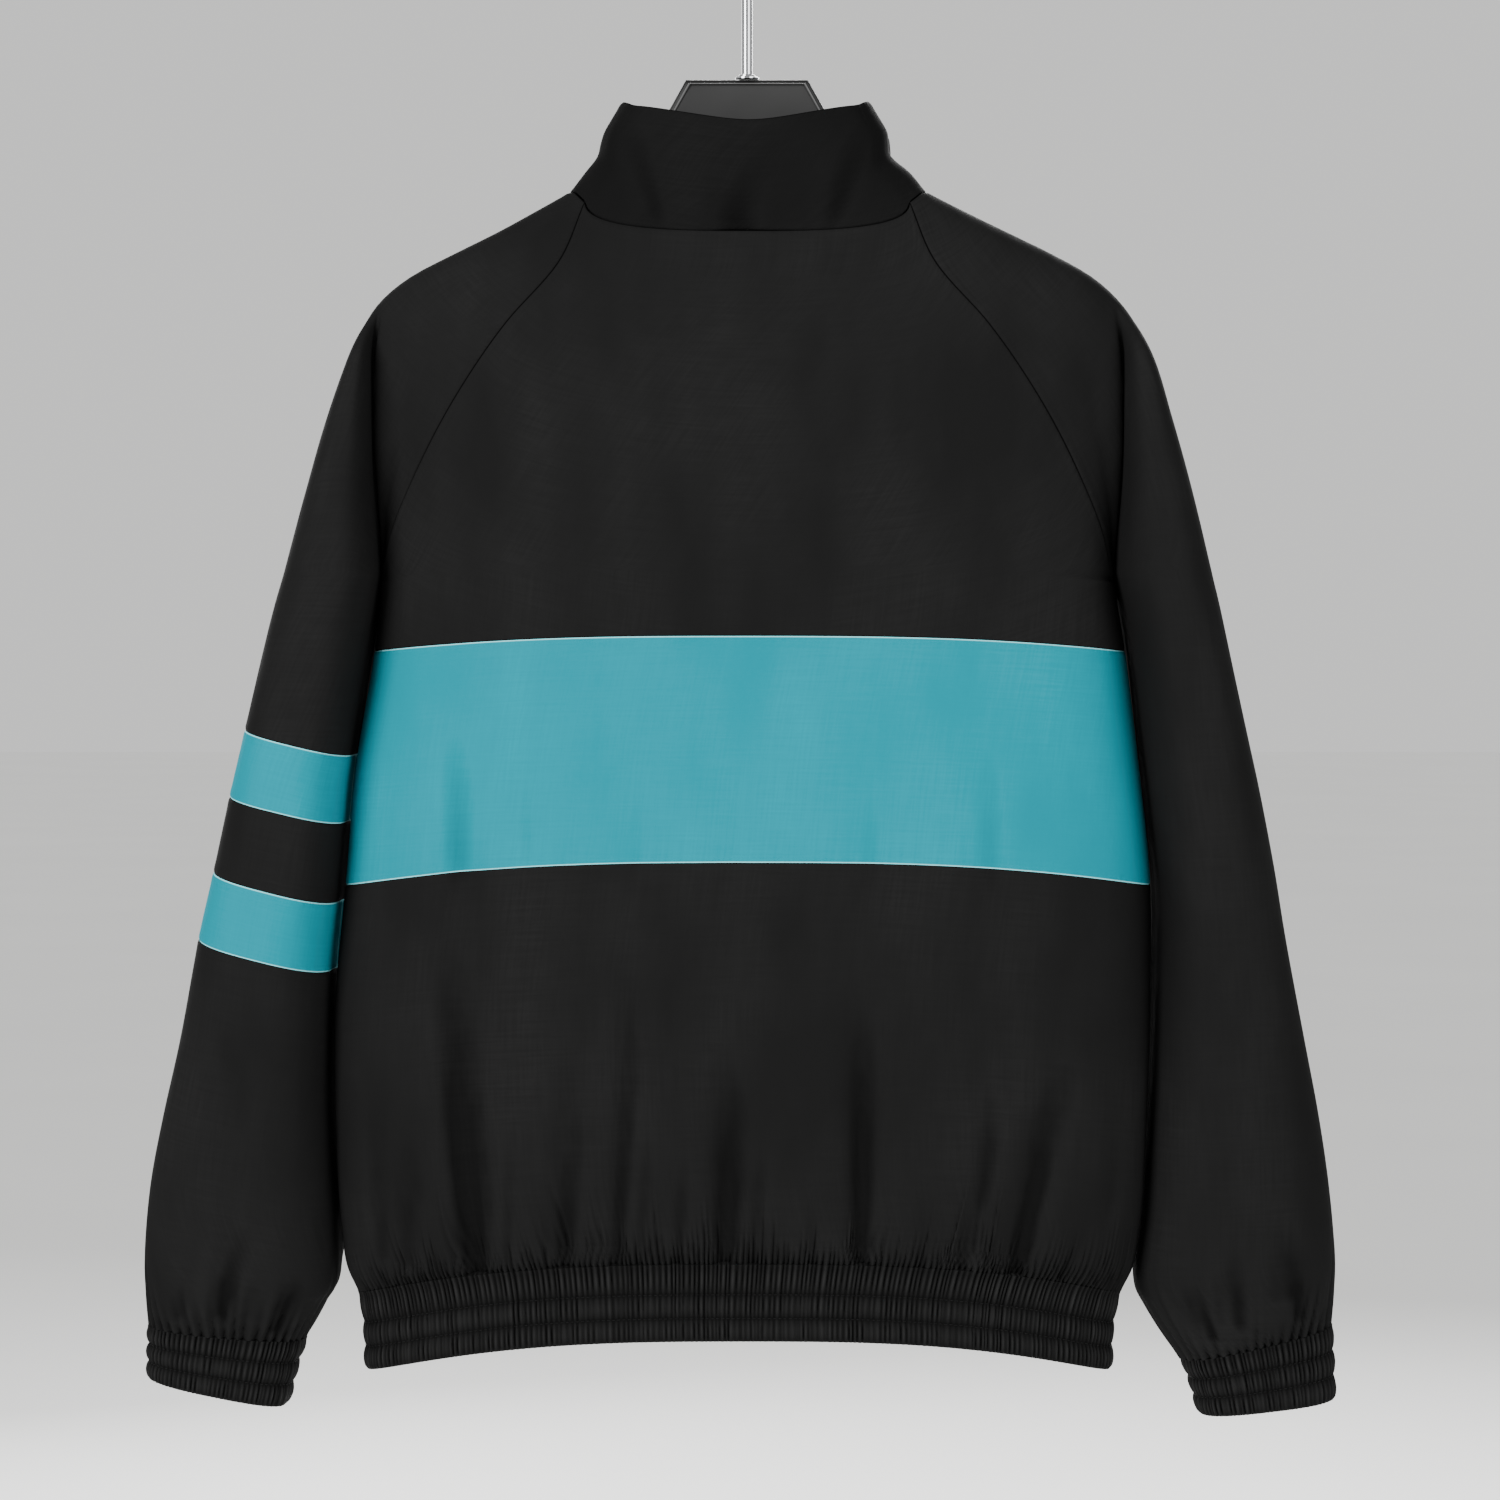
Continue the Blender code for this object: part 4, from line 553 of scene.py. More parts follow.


# creases listed one by one, in millimetres: each runs through three points on one side of the cloth, and
# ridge is the share of its depth that stands up beside it, on +X where positive
creaseColumns = "topX topZ middleX middleZ lowX lowZ depth width ridge"
creases = {
    "back": table(
        creaseColumns,
        (205, -745, 209, -800, 211, -862, 1.8, 9, 0.3), (183, -600, 179, -740, 164, -878, 5.4, 10, 0.35),
        (170, -690, 164, -760, 156, -850, 1.5, 5, -0.4), (139, -700, 144, -770, 149, -860, 2.2, 6, 0.4),
        (96, -690, 107.8, -790, 113.5, -878, 3.8, 7, 0.4), (124, -800, 122.5, -830, 122, -868, 2.4, 4, 0.4),
        (68.5, -615, 71.6, -720, 83.6, -878, 3.4, 6, 0.5), (56, -740, 61, -790, 68, -862, 1.6, 5, -0.4),
        (38.5, -770, 40, -810, 44, -868, 1.8, 4.5, 0.4), (10, -690, 11, -776, 15, -878, 4.2, 8, 0.4),
        (-12.5, -765, -8, -800, -3, -864, 1.8, 5, -0.4), (-40, -790, -39, -820, -40, -868, 1.6, 4.5, 0.4),
        (-72.5, -655, -71.5, -750, -70.5, -880, 5, 7, -0.4), (-84, -760, -83, -800, -79, -860, 1.6, 5, 0.4),
        (-109, -780, -108, -820, -105, -866, 1.8, 5, -0.4),
        (-143, -722, -150, -770, -142, -830, 3.2, 6, 0.4),
        (-144, -800, -138, -830, -127, -880, 3.2, 6, -0.4),
        (-206, -715, -189, -762, -162, -872, 4.2, 10, -0.4),
        (-183, -790, -176, -820, -166, -866, 2.2, 5, 0.4),
        (-220, -815, -208, -838, -194, -868, 2.2, 6, -0.4), (232, -700, 231, -770, 226, -860, 1.8, 8, 0.3),
        (-232, -700, -230, -770, -222, -850, 1.6, 8, -0.3), (184, -470, 181, -545, 178, -640, 2.6, 12, 0.5),
        (138, -480, 136, -550, 134, -630, 1.2, 10, -0.3), (67, -470, 68, -550, 69, -640, 1.8, 11, 0.3),
        (11, -460, 10, -550, 10, -640, 1.5, 12, -0.3), (-74, -480, -75, -560, -73, -650, 1.5, 12, 0.3),
        (-147, -470, -149, -550, -150, -640, 1.5, 12, -0.4), (205, -400, 190, -440, 182, -490, 2, 15, -0.5),
        (150, -330, 160, -400, 168, -470, 1.8, 18, 0.4), (-170, -350, -185, -420, -190, -490, 1.6, 17, -0.4),
        (100, -290, 118, -360, 128, -440, 1.8, 24, -0.5), (50, -300, 46, -370, 50, -450, 1, 18, 0.3),
        (-60, -290, -58, -380, -66, -460, 1, 18, -0.3)),
    "front": table(
        creaseColumns,
        (150, -340, 160, -410, 166, -480, 1.5, 17, 0.4), (-155, -340, -168, -410, -176, -490, 1.5, 17, -0.4),
        (90, -480, 88, -560, 94, -650, 1.5, 13, 0.4), (-100, -470, -103, -560, -98, -650, 1.5, 13, -0.4),
        (30, -700, 34, -770, 40, -850, 1.3, 8, 0.4), (-28, -690, -34, -770, -36, -850, 1.3, 8, -0.4),
        (205, -700, 208, -770, 204, -850, 1.6, 10, 0.3), (-215, -680, -212, -760, -205, -845, 1.6, 10, -0.3),
        (100, -720, 106, -790, 104, -850, 1.3, 8, -0.4), (-92, -730, -90, -790, -96, -850, 1.3, 8, 0.4)),
    "sleeveBack": table(
        creaseColumns,
        (302, -800, 318, -855, 329, -896, 3.8, 8, 0.5), (268, -846, 283, -878, 295, -905, 3.4, 7, 0.4),
        (345, -835, 351, -868, 353, -895, 2.2, 5, -0.4), (366, -850, 361, -876, 357, -896, 1.8, 4, 0.3),
        (295, -840, 302, -868, 308, -896, 1.6, 6, 0.4), (300, -520, 290, -570, 272, -620, 2, 16, 0.4),
        (330, -640, 326, -700, 315, -760, 1.8, 15, -0.4), (270, -700, 282, -750, 290, -800, 1.6, 14, 0.4),
        (-308, -765, -322, -825, -335, -885, 3.4, 18, -0.4),
        (-298, -822, -304, -866, -308, -902, 3.4, 7, -0.5),
        (-262, -846, -277, -880, -292, -910, 3.4, 7, 0.5), (-339, -832, -343, -868, -346, -896, 2.2, 6, 0.4),
        (-285, -830, -290, -865, -296, -900, 1.6, 6, 0.4),
        (-260, -430, -262, -520, -264, -600, 2.2, 14, -0.4),
        (-305, -560, -295, -640, -280, -700, 1.8, 16, 0.4),
        (-330, -660, -325, -730, -318, -790, 1.6, 15, -0.4)),
    "sleeveFront": table(
        creaseColumns,
        (310, -820, 318, -860, 326, -893, 2.8, 8, 0.5), (285, -850, 292, -878, 300, -902, 2.2, 6, 0.4),
        (350, -850, 350, -874, 348, -895, 1.8, 6, -0.4), (275, -560, 290, -620, 310, -660, 3, 16, 0.4),
        (272, -640, 290, -680, 315, -700, 2.4, 14, -0.4), (-300, -820, -308, -860, -316, -893, 2.8, 8, -0.5),
        (-275, -850, -282, -878, -292, -904, 2.2, 6, 0.4), (-340, -850, -340, -874, -339, -895, 1.8, 6, 0.4),
        (-270, -560, -285, -620, -305, -660, 3, 16, -0.4),
        (-268, -640, -285, -680, -310, -700, 2.4, 14, 0.4)),
    "collarBack": table(
        creaseColumns,
        (78, -126, 67, -170, 50, -224, 1.9, 8, 0.5), (-74, -126, -66, -170, -48, -224, 1.9, 8, -0.5),
        (-40, -112, -6, -170, 14, -228, 3.6, 15, 0.4), (24, -190, 12, -205, -4, -226, 3, 14, -0.4)),
    "collarFront": table(
        creaseColumns,
        (60, -165, 54, -190, 50, -215, 1.6, 7, 0.5), (-60, -165, -55, -190, -49, -215, 1.6, 7, -0.5)),
}


def creaseOffsets(points, normals, kind, face):
    # inward and outward shift of the cloth by its listed creases
    facing = smoothstep((normals[:, 1] * faceSign[face] - 0.05) / 0.5)
    offset = np.zeros(len(points))
    xz = points[:, (0, 2)]
    for *route, depth, width, ridge in zip(*creases[kind].values()):
        top, middle, low = np.reshape(route, (3, 2)) / 1000
        u = np.linspace(0.0, 1.0, 9)[:, None]
        line = (1 - u) ** 2 * top + 2 * u * (1 - u) * (2 * middle - (top + low) / 2) + u**2 * low
        best = np.full(len(points), 1e9)
        signed = np.zeros(len(points))
        along = np.zeros(len(points))
        for n in range(len(line) - 1):
            step = line[n + 1] - line[n]
            share = np.clip((xz - line[n]) @ step / (step @ step), 0.0, 1.0)
            away = xz - line[n] - share[:, None] * step
            distance = np.linalg.norm(away, axis=1)
            nearer = distance < best
            best = np.where(nearer, distance, best)
            signed = np.where(nearer, np.sign(away[:, 0]) * distance, signed)
            along = np.where(nearer, (n + share) / (len(line) - 1), along)
        # wide creases are soft, and those of the sleeves deeper
        depth = depth * (0.6 if width >= 13 else 1.0 if kind == face else 1.25)
        across = signed / (width * millimetre * (1.7 - 1.1 * along))   # folds narrow as they come down
        intoGathers = route[-1] < -850
        fade = smoothstep(along / 0.8) * smoothstep((1 - along) / (0.05 if intoGathers else 0.18))
        beside = np.exp(-(across - np.sign(ridge) * 1.5) ** 2)
        offset += depth * millimetre * fade * (0.4 * abs(ridge) * beside - 0.8 * np.exp(-across**2 * 0.9))
    return offset * facing


def softWaves(points, size, height, seed):
    # slow waves of hung cloth, longer down than across
    shift = Vector((seed, 0.37 * seed, 1.3 * seed))
    values = [noise.noise(Vector((x / size, y / size, z / (2.2 * size))) + shift) for x, y, z in points]
    return np.array(values) * height


def ribRow(length, seed):
    # uneven ribs along an elastic edge: where each starts and how high it stands
    random = np.random.default_rng(seed)
    least, widest = elastic["ribSpread"]
    widths = random.uniform(least, widest, int(round(length / elastic["ribWidth"])))
    edges = np.concatenate([[0.0], np.cumsum(widths)]) / widths.sum() * length
    return edges, random.uniform(least, 1.0, len(widths))


def ribAt(places, edges):
    # which rib each place is on, how far across it, and the crest's share of the rib's height
    i = np.clip(np.searchsorted(edges, places, side="right") - 1, 0, len(edges) - 2)
    share = np.clip((places - edges[i]) / (edges[i + 1] - edges[i]), 0.0, 1.0)
    return i, share, np.sin(share * math.pi) ** 1.35


def gathersAbove(points, line, seed, reach, height, depth, every=1):
    # the ribs of an elastic edge run on up into the cloth, some further than others; of the sleeve's close
    # ribs only every second one does
    centre, extent = (line.max(axis=0) + line.min(axis=0)) / 2, np.ptp(line, axis=0)

    def turn(at):
        return np.arctan2((at[:, 1] - centre[1]) / extent[1], (at[:, 0] - centre[0]) / extent[0])

    angles = np.unwrap(turn(line))
    sign = np.sign(angles[-1] - angles[0])
    run = np.concatenate([[0.0], np.cumsum(np.linalg.norm(np.diff(line, axis=0), axis=1))])
    places = np.interp((sign * (turn(points) - angles[0])) % (2 * math.pi), sign * (angles - angles[0]), run)
    above = np.maximum(points[:, 2] - np.interp(places, run, line[:, 2]), 0.0)
    edges, heights = ribRow(run[-1], seed)
    edges = np.append(edges[:-every:every], edges[-1])
    heights = heights[::every][:len(edges) - 1]
    random = np.random.default_rng(seed + 100)
    tall = reach * random.uniform(0.40, 1.0, len(edges)) ** 1.7
    tall = tall * np.where(random.random(len(edges)) < 0.2, 1.7, 1.0)
    i, share, crest = ribAt(places, edges)
    fade = [np.clip(1 - above / tall[k], 0.0, 1.0) ** 1.1 for k in (i, i + 1)]
    return (height * heights[i] * fade[0] * crest
            - depth * (fade[0] * (1 - share) + fade[1] * share) * (1 - crest))


# how a grid becomes a thin shell of cloth
shell = {
    "thickness": 0.9 * millimetre, "seamGap": 0.03 * millimetre,
    "hollowStart": 0.6 * millimetre, "hollowDepth": 2.6 * millimetre,
    "rollDepth": 0.6 * millimetre, "rollReach": 1.0 * millimetre,   # a sewn edge turns in
    "swell": 0.14 * millimetre, "swellAt": 3.2 * millimetre,          # over its seam allowance
    "sharp": 55,
}


def gridDistances(grid):
    # distances of a grid's points from its first and last row and column, along the cloth
    down = np.linalg.norm(np.diff(grid, axis=0), axis=2)
    across = np.linalg.norm(np.diff(grid, axis=1), axis=2)
    zeroRow = np.zeros((1, grid.shape[1]))
    zeroColumn = np.zeros((grid.shape[0], 1))
    top = np.concatenate([zeroRow, np.cumsum(down, axis=0)])
    left = np.concatenate([zeroColumn, np.cumsum(across, axis=1)], axis=1)
    return {"top": top, "bottom": top[-1:] - top, "first": left, "last": left[:, -1:] - left}


def gridFaces(rows, columns, joined=False, around=False):
    # quads between rows of points; joined adds those from the last row to the first, around closes each row
    return [[row * columns + c, (row + 1) % rows * columns + c,
             (row + 1) % rows * columns + (c + 1) % columns,
             row * columns + (c + 1) % columns]
            for row in range(rows if joined else rows - 1) for c in range(columns if around else columns - 1)]


def mergeGrids(parts):
    # one set of points and faces from grids that share points; parts hold grid, uv and seam arrays
    points, uv, seam = [np.concatenate([part[name].reshape(shape) for part in parts])
                        for name, shape in (("grid", (-1, 3)), ("uv", (-1, 2)), ("seam", -1))]
    _, first, inverse = np.unique(np.round(points, 6) + 0.0, axis=0, return_index=True, return_inverse=True)
    inverse = inverse.reshape(-1)
    nearest = np.full(len(first), 1e9)
    np.minimum.at(nearest, inverse, seam)
    faces = []
    corners = []
    start = 0
    for part in parts:
        rows, columns = part["grid"].shape[:2]
        for quad in start + np.array(gridFaces(rows, columns)):
            kept = [int(n) for i, n in enumerate(quad) if inverse[n] != inverse[quad[i - 1]]]
            face = [int(inverse[n]) for n in kept]
            if len(set(face)) >= 3:
                faces.append(face)
                corners.append(kept)
        start += rows * columns
    return points[first], faces, uv, corners, nearest


def pointNormals(points, faces):
    normals = np.zeros_like(points)
    quads = np.array([face if len(face) == 4 else [*face, face[0]] for face in faces])
    cross = np.cross(points[quads[:, 2]] - points[quads[:, 0]], points[quads[:, 3]] - points[quads[:, 1]])
    triangles = np.array([len(face) == 3 for face in faces])
    if triangles.any():
        t = quads[triangles]
        cross[triangles] = np.cross(points[t[:, 1]] - points[t[:, 0]], points[t[:, 2]] - points[t[:, 0]])
    for k in range(4):
        use = slice(None) if k < 3 else ~triangles
        np.add.at(normals, quads[use, k], cross[use])
    return normals / np.maximum(np.linalg.norm(normals, axis=1), 1e-12)[:, None]


def rimEdges(faces):
    directed = set()
    for face in faces:
        directed.update((face[i], face[(i + 1) % len(face)]) for i in range(len(face)))
    return [edge for edge in directed if (edge[1], edge[0]) not in directed]


def newMesh(name, points, faces, sharp):
    mesh = bpy.data.meshes.new(name)
    mesh.from_pydata(np.asarray(points).tolist(), [], faces)
    mesh.validate()
    mesh.shade_smooth()
    mesh.set_sharp_from_angle(angle=math.radians(sharp))
    return mesh


def markPoints(mesh, **values):
    # float attributes that the materials read
    for name, numbers in values.items():
        mesh.attributes.new(name, "FLOAT", "POINT").data.foreach_set("value", numbers)


def addPiece(name, mesh, material, body="garment", node=None, slot=None):
    # puts a finished mesh in the scene and lets it ride with its body
    mesh.materials.append(material)
    piece = pieces[name] = placed(name, mesh)
    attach(piece, body)
    if node:
        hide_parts(node)
    return piece


def clothPiece(name, parts, material, shape, thickness=None):
    # lays grids as a closed thin shell: sewn edges rolled in, shape gives the creases' offsets
    points, faces, uv, corners, seam = mergeGrids(parts)
    normals = pointNormals(points, faces)
    offset = shape(points, normals) if shape else np.zeros(len(points))
    # how deep a point lies in a crease, below 0 on a ridge: the mask for the painted shade in folds and the
    # painted highlight on ridges
    hollow = np.clip((-offset - shell["hollowStart"] * np.sign(-offset)) / shell["hollowDepth"], -1.0, 1.0)
    hollow[np.abs(offset) < shell["hollowStart"]] = 0.0
    offset = offset - shell["rollDepth"] * np.exp(-(seam / shell["rollReach"]) ** 2)
    offset = offset + shell["swell"] * np.exp(-((seam - shell["swellAt"]) / (0.5 * shell["swellAt"])) ** 2)
    outer = points + normals * offset[:, None]
    rim = rimEdges(faces)
    inward = np.zeros_like(outer)
    for a, b in rim:
        direction = np.cross(normals[a] + normals[b], outer[b] - outer[a])
        direction /= max(np.linalg.norm(direction), 1e-12)
        inward[a] += direction
        inward[b] += direction
    length = np.linalg.norm(inward, axis=1)
    inward[length > 0] /= length[length > 0][:, None]
    outer = outer + inward * shell["seamGap"]
    inner = outer - pointNormals(outer, faces) * (thickness or shell["thickness"])
    count = len(outer)
    allFaces = faces + [[n + count for n in reversed(face)] for face in faces]
    allFaces += [[b, a, a + count, b + count] for a, b in rim]
    mesh = newMesh(name, np.concatenate([outer, inner]), allFaces, shell["sharp"])
    flat = [uv[n] for corner in corners for n in corner]
    flat += [uv[n] for corner in corners for n in reversed(corner)]
    firstUv = {}
    for face, corner in zip(faces, corners):
        for vertex, n in zip(face, corner):
            firstUv.setdefault(vertex, uv[n])
    flat += [firstUv[n] for a, b in rim for n in (b, a, a, b)]
    mesh.uv_layers.new(name="cloth").data.foreach_set("uv", np.array(flat).ravel())
    markPoints(mesh, seamDistance=np.tile(seam, 2), hollow=np.tile(hollow, 2))
    addPiece(name, mesh, material)


def partOf(grid, seams, uvShift=(0.0, 0.0)):
    # a grid with its uv in metres, and its distance from the edges that are sewn
    grid = np.array(grid)
    distances = gridDistances(grid)
    seam = np.full(grid.shape[:2], 1.0)
    for name in seams:
        seam = np.minimum(seam, distances[name])
    middle = distances["first"].mean(axis=0)[grid.shape[1] // 2]
    uv = np.stack([distances["first"] - middle + uvShift[0], -distances["top"] + uvShift[1]], axis=-1)
    return {"grid": grid, "uv": uv, "seam": seam}


# back and fronts
torso = {
    "step": 4.4 * millimetre, "lowerStep": 0.88 * millimetre, "lowerRows": 5.0 * millimetre,
    "lowerDense": 0.35,
    "width": 0.54, "lowerWidth": 0.58, "headHeight": 0.23, "sideHeight": 0.0425,   # what the steps divide
    "gatherReach": 44 * millimetre, "gatherHeight": 1.3 * millimetre, "gatherDepth": 2.1 * millimetre,
    "waves": 1.1 * millimetre, "waveSize": 0.11, "waveSeeds": {"back": 11, "left": 23, "right": 31},
}


def rowsOf(face, stretch):
    if stretch == "upper":
        t = fineSteps(torso["headHeight"], torso["step"], end=False)[:-1]
        share = fineSteps(torso["sideHeight"], torso["step"], start=False)
        side = form["underarmZ"] + (form["bandTopZ"] - form["underarmZ"]) * share
        return ([betweenSeams(face, value) for value in t]
                + [folded(levelLine(face, z), face, z) for z in side])
    top, bottom = {"band": (form["bandTopZ"], form["bandBottomZ"]),
                   "lower": (form["bandBottomZ"], form["hemTopZ"])}[stretch]
    step = torso["lowerRows"] if stretch == "lower" else torso["step"]
    share = fineSteps(top - bottom, step)
    if stretch == "lower":
        share = share + torso["lowerDense"] * share * (1 - share)   # closer rows beside the gathers
    heights = top + (bottom - top) * share
    return [folded(levelLine(face, z), face, z) for z in heights]


def torsoShape(face, seed):
    def shape(points, normals):
        offset = creaseOffsets(points, normals, face, face)
        offset += softWaves(points, torso["waveSize"], torso["waves"], seed)
        return offset + gathersAbove(points, hemLineAt(0.0), elastic["seeds"]["hem"], torso["gatherReach"],
                                     torso["gatherHeight"], torso["gatherDepth"])
    return shape


def buildTorso():
    for stretch, material in (("upper", blackNylon), ("band", tealNylon), ("lower", blackNylon)):
        lower = stretch == "lower"
        step, width = (torso["lowerStep"], torso["lowerWidth"]) if lower else (torso["step"], torso["width"])
        sewn = ("top", "first", "last") if lower else ("top", "bottom", "first", "last")
        grid = [resample(row, fineSteps(width, step)) for row in rowsOf("back", stretch)]
        clothPiece(f"back{stretch.title()}Cloth", [partOf(grid, sewn)], material,
                   torsoShape("back", torso["waveSeeds"]["back"]))
        for side, lines in zip(("left", "right"), zip(*[cutAtZip(row) for row in rowsOf("front", stretch)])):
            lines = [resample(line, fineSteps(width / 2, step)) for line in lines]
            grid = [line[::-1] for line in lines] if side == "left" else lines
            clothPiece(f"front{stretch.title()}{side.title()}Cloth", [partOf(grid, sewn)], material,
                       torsoShape("front", torso["waveSeeds"][side]))


sleeves = {
    "step": 4.7 * millimetre,
    "stripeRows": (2, 3, 4, 5),          # rows of the left table where the two stripes start and end
    "left": table(
        "t  outerX  outerZ   innerX  innerZ   halfDepth forward",
        (0, 0.2900, -0.4280, 0.2293, -0.4350, 0.0660, 0.000),
        (1, 0.2980, -0.4580, 0.2360, -0.4706, 0.0700, 0.002),
        (2, 0.3143, -0.5261, 0.2477, -0.5427, 0.0740, 0.006),
        (3, 0.3246, -0.5676, 0.2522, -0.5853, 0.0740, 0.008),
        (4, 0.3355, -0.6149, 0.2565, -0.6350, 0.0720, 0.010),
        (5, 0.3452, -0.6571, 0.2608, -0.6782, 0.0700, 0.011),
        (6, 0.3568, -0.7195, 0.2625, -0.7450, 0.0660, 0.012),
        (7, 0.3670, -0.7680, 0.2608, -0.7940, 0.0620, 0.012),
        (8, 0.3752, -0.8127, 0.2582, -0.8350, 0.0570, 0.012),
        (9, 0.3790, -0.8549, 0.2580, -0.8719, 0.0500, 0.010),
        (10, 0.3783, -0.8801, 0.2665, -0.8883, 0.0410, 0.008),
        (11, 0.3765, -0.9015, 0.2791, -0.9103, 0.0300, 0.006)),
    "right": table(
        "t  outerX  outerZ   innerX  innerZ   halfDepth forward",
        (0, 0.2915, -0.4280, 0.2312, -0.4350, 0.0660, 0.000),
        (1, 0.2985, -0.4580, 0.2400, -0.4680, 0.0700, 0.002),
        (2, 0.3132, -0.5261, 0.2480, -0.5370, 0.0740, 0.006),
        (3, 0.3222, -0.5676, 0.2527, -0.5790, 0.0740, 0.008),
        (4, 0.3315, -0.6149, 0.2575, -0.6270, 0.0720, 0.010),
        (5, 0.3388, -0.6571, 0.2575, -0.6700, 0.0700, 0.011),
        (6, 0.3508, -0.7195, 0.2558, -0.7330, 0.0660, 0.012),
        (7, 0.3600, -0.7680, 0.2532, -0.7830, 0.0620, 0.012),
        (8, 0.3668, -0.8127, 0.2500, -0.8290, 0.0570, 0.012),
        (9, 0.3708, -0.8549, 0.2450, -0.8719, 0.0500, 0.010),
        (10, 0.3702, -0.8801, 0.2533, -0.8925, 0.0410, 0.008),
        (11, 0.3682, -0.9015, 0.2747, -0.9230, 0.0300, 0.006)),
    # points of half a ring, and the sizes that the steps of a head are measured by
    "ringPoints": 88, "headHeight": 0.25, "nearWidth": 0.11,
    "crowding": 0.55,                    # how much closer the columns are beside the valley
    "waves": 1.5 * millimetre, "waveSize": 0.075, "waveSeeds": {"left": 41, "right": 57}, "wavesFade": 0.08,
    "gatherReach": 58 * millimetre, "gatherHeight": 1.3 * millimetre, "gatherDepth": 2.4 * millimetre,
    "gatherEvery": 2, "fullness": 7.0 * millimetre,
}


def ringLine(rows, t, side):
    # a section of a hanging sleeve or cuff, from its inner end round the front and back to it
    angle = np.linspace(-math.pi, math.pi, form["levelPoints"])
    outerX, outerZ, innerX, innerZ, halfDepth, forward = [
        float(read(rows, name, t))
        for name in ("outerX", "outerZ", "innerX", "innerZ", "halfDepth", "forward")]
    halfWidth = (outerX - innerX) / 2
    x, y = onSection(angle, halfWidth, halfDepth, form["sleevePower"])
    z = innerZ + (outerZ - innerZ) * (x / halfWidth + 1) / 2
    return np.stack([(innerX + halfWidth + x) * sideSign[side], y - forward, z], axis=1)


def evenRing(line, fractions):
    # front and back halves resampled alike, joined at the inner end
    middle = len(line) // 2
    ring = np.concatenate([resample(line[:middle + 1], fractions),
                           resample(line[middle:][::-1], fractions)[::-1][1:]])
    ring[-1] = ring[0]
    return ring


def fuller(ring, rows, t, side):
    # the sleeve's inner front falls a little way in front of the body's side and closes the gap
    outerX, innerX, halfDepth, forward = [
        float(read(rows, name, t)) for name in ("outerX", "innerX", "halfDepth", "forward")]
    share = (np.abs(ring[:, 0]) - innerX) / (outerX - innerX)
    depth = (ring[:, 1] + forward) / halfDepth
    reach = smoothstep((0.45 - share) / 0.45) * np.exp(-(((depth + 0.45) / 0.32) ** 2))
    along = smoothstep(t / 0.25) * smoothstep((8.9 - t) / 1.0)
    moved = ring.copy()
    moved[:, 0] -= sideSign[side] * sleeves["fullness"] * reach * along
    return moved


def sleeveShape(side):
    def shape(points, normals):
        offset = creaseOffsets(points, normals, "sleeveBack", "back")
        offset += creaseOffsets(points, normals, "sleeveFront", "front")
        below = smoothstep((form["blendBottomZ"] - points[:, 2]) / sleeves["wavesFade"])
        waves = softWaves(points, sleeves["waveSize"], sleeves["waves"], sleeves["waveSeeds"][side])
        offset += waves * (0.3 + 0.7 * below)
        return offset + gathersAbove(points, cuffLineAt(side)(0.0), elastic["seeds"][side],
                                     sleeves["gatherReach"],
                                     sleeves["gatherHeight"], sleeves["gatherDepth"], sleeves["gatherEvery"])
    return shape


def buildSleeve(side):
    rows = sleeves[side]
    nearSteps = fineSteps(sleeves["nearWidth"], sleeves["step"], end=False)
    nearSteps = nearSteps + sleeves["crowding"] * nearSteps * (1 - nearSteps)
    ringFractions = np.linspace(0.0, 1.0, sleeves["ringPoints"])
    head = []
    for t in fineSteps(sleeves["headHeight"], sleeves["step"], end=False):
        halves = []
        for face in ("front", "back"):
            near, far = headHalf(side, face, t)
            halves.append(np.concatenate([resample(near, nearSteps), resample(far, ringFractions)[1:]]))
            if t == 1.0:
                halves[-1][:len(nearSteps)] = underarmPoint(side)
        head.append(np.concatenate([halves[0], halves[1][::-1][1:]]))
    headRing = head[-1][len(nearSteps) - 1:len(nearSteps) + 2 * (len(ringFractions) - 1)]
    base = evenRing(ringLine(rows, 0, side), ringFractions)

    def ringAt(t):
        # below the underarm a ring starts in the head's last one and comes away into the table's section
        ring = evenRing(ringLine(rows, t, side), ringFractions)
        ring = fuller(ring, rows, t, side) + (headRing - base) * (1 - smoothstep(t))
        ring[-1] = ring[0]
        return ring

    last = rows["t"][-1]
    cuts = [0, *sleeves["stripeRows"], last] if side == "left" else [0, last]
    names = ["Upper", "StripeUpper", "Middle", "StripeLower", "Lower"] if side == "left" else ["Whole"]
    turn = 1 if side == "left" else -1
    for number, (name, start, stop) in enumerate(zip(names, cuts[:-1], cuts[1:])):
        fall = rows["outerZ"][int(start)] - rows["outerZ"][int(stop)]
        rings = [ringAt(start + (stop - start) * share)
                 for share in fineSteps(fall, sleeves["step"], number > 0)]
        sewn = ["first", "last"] + (["top"] if number else []) + (["bottom"] if stop < last else [])
        parts = [partOf(np.array(rings)[:, ::turn], sewn, (0.0, -0.25 - 0.1 * number))]
        if number == 0:
            parts.append(partOf(np.array(head)[:, ::turn], ("top", "first", "last")))
        clothPiece(f"sleeve{side.title()}{name}Cloth", parts, tealNylon if "Stripe" in name else blackNylon,
                   sleeveShape(side))


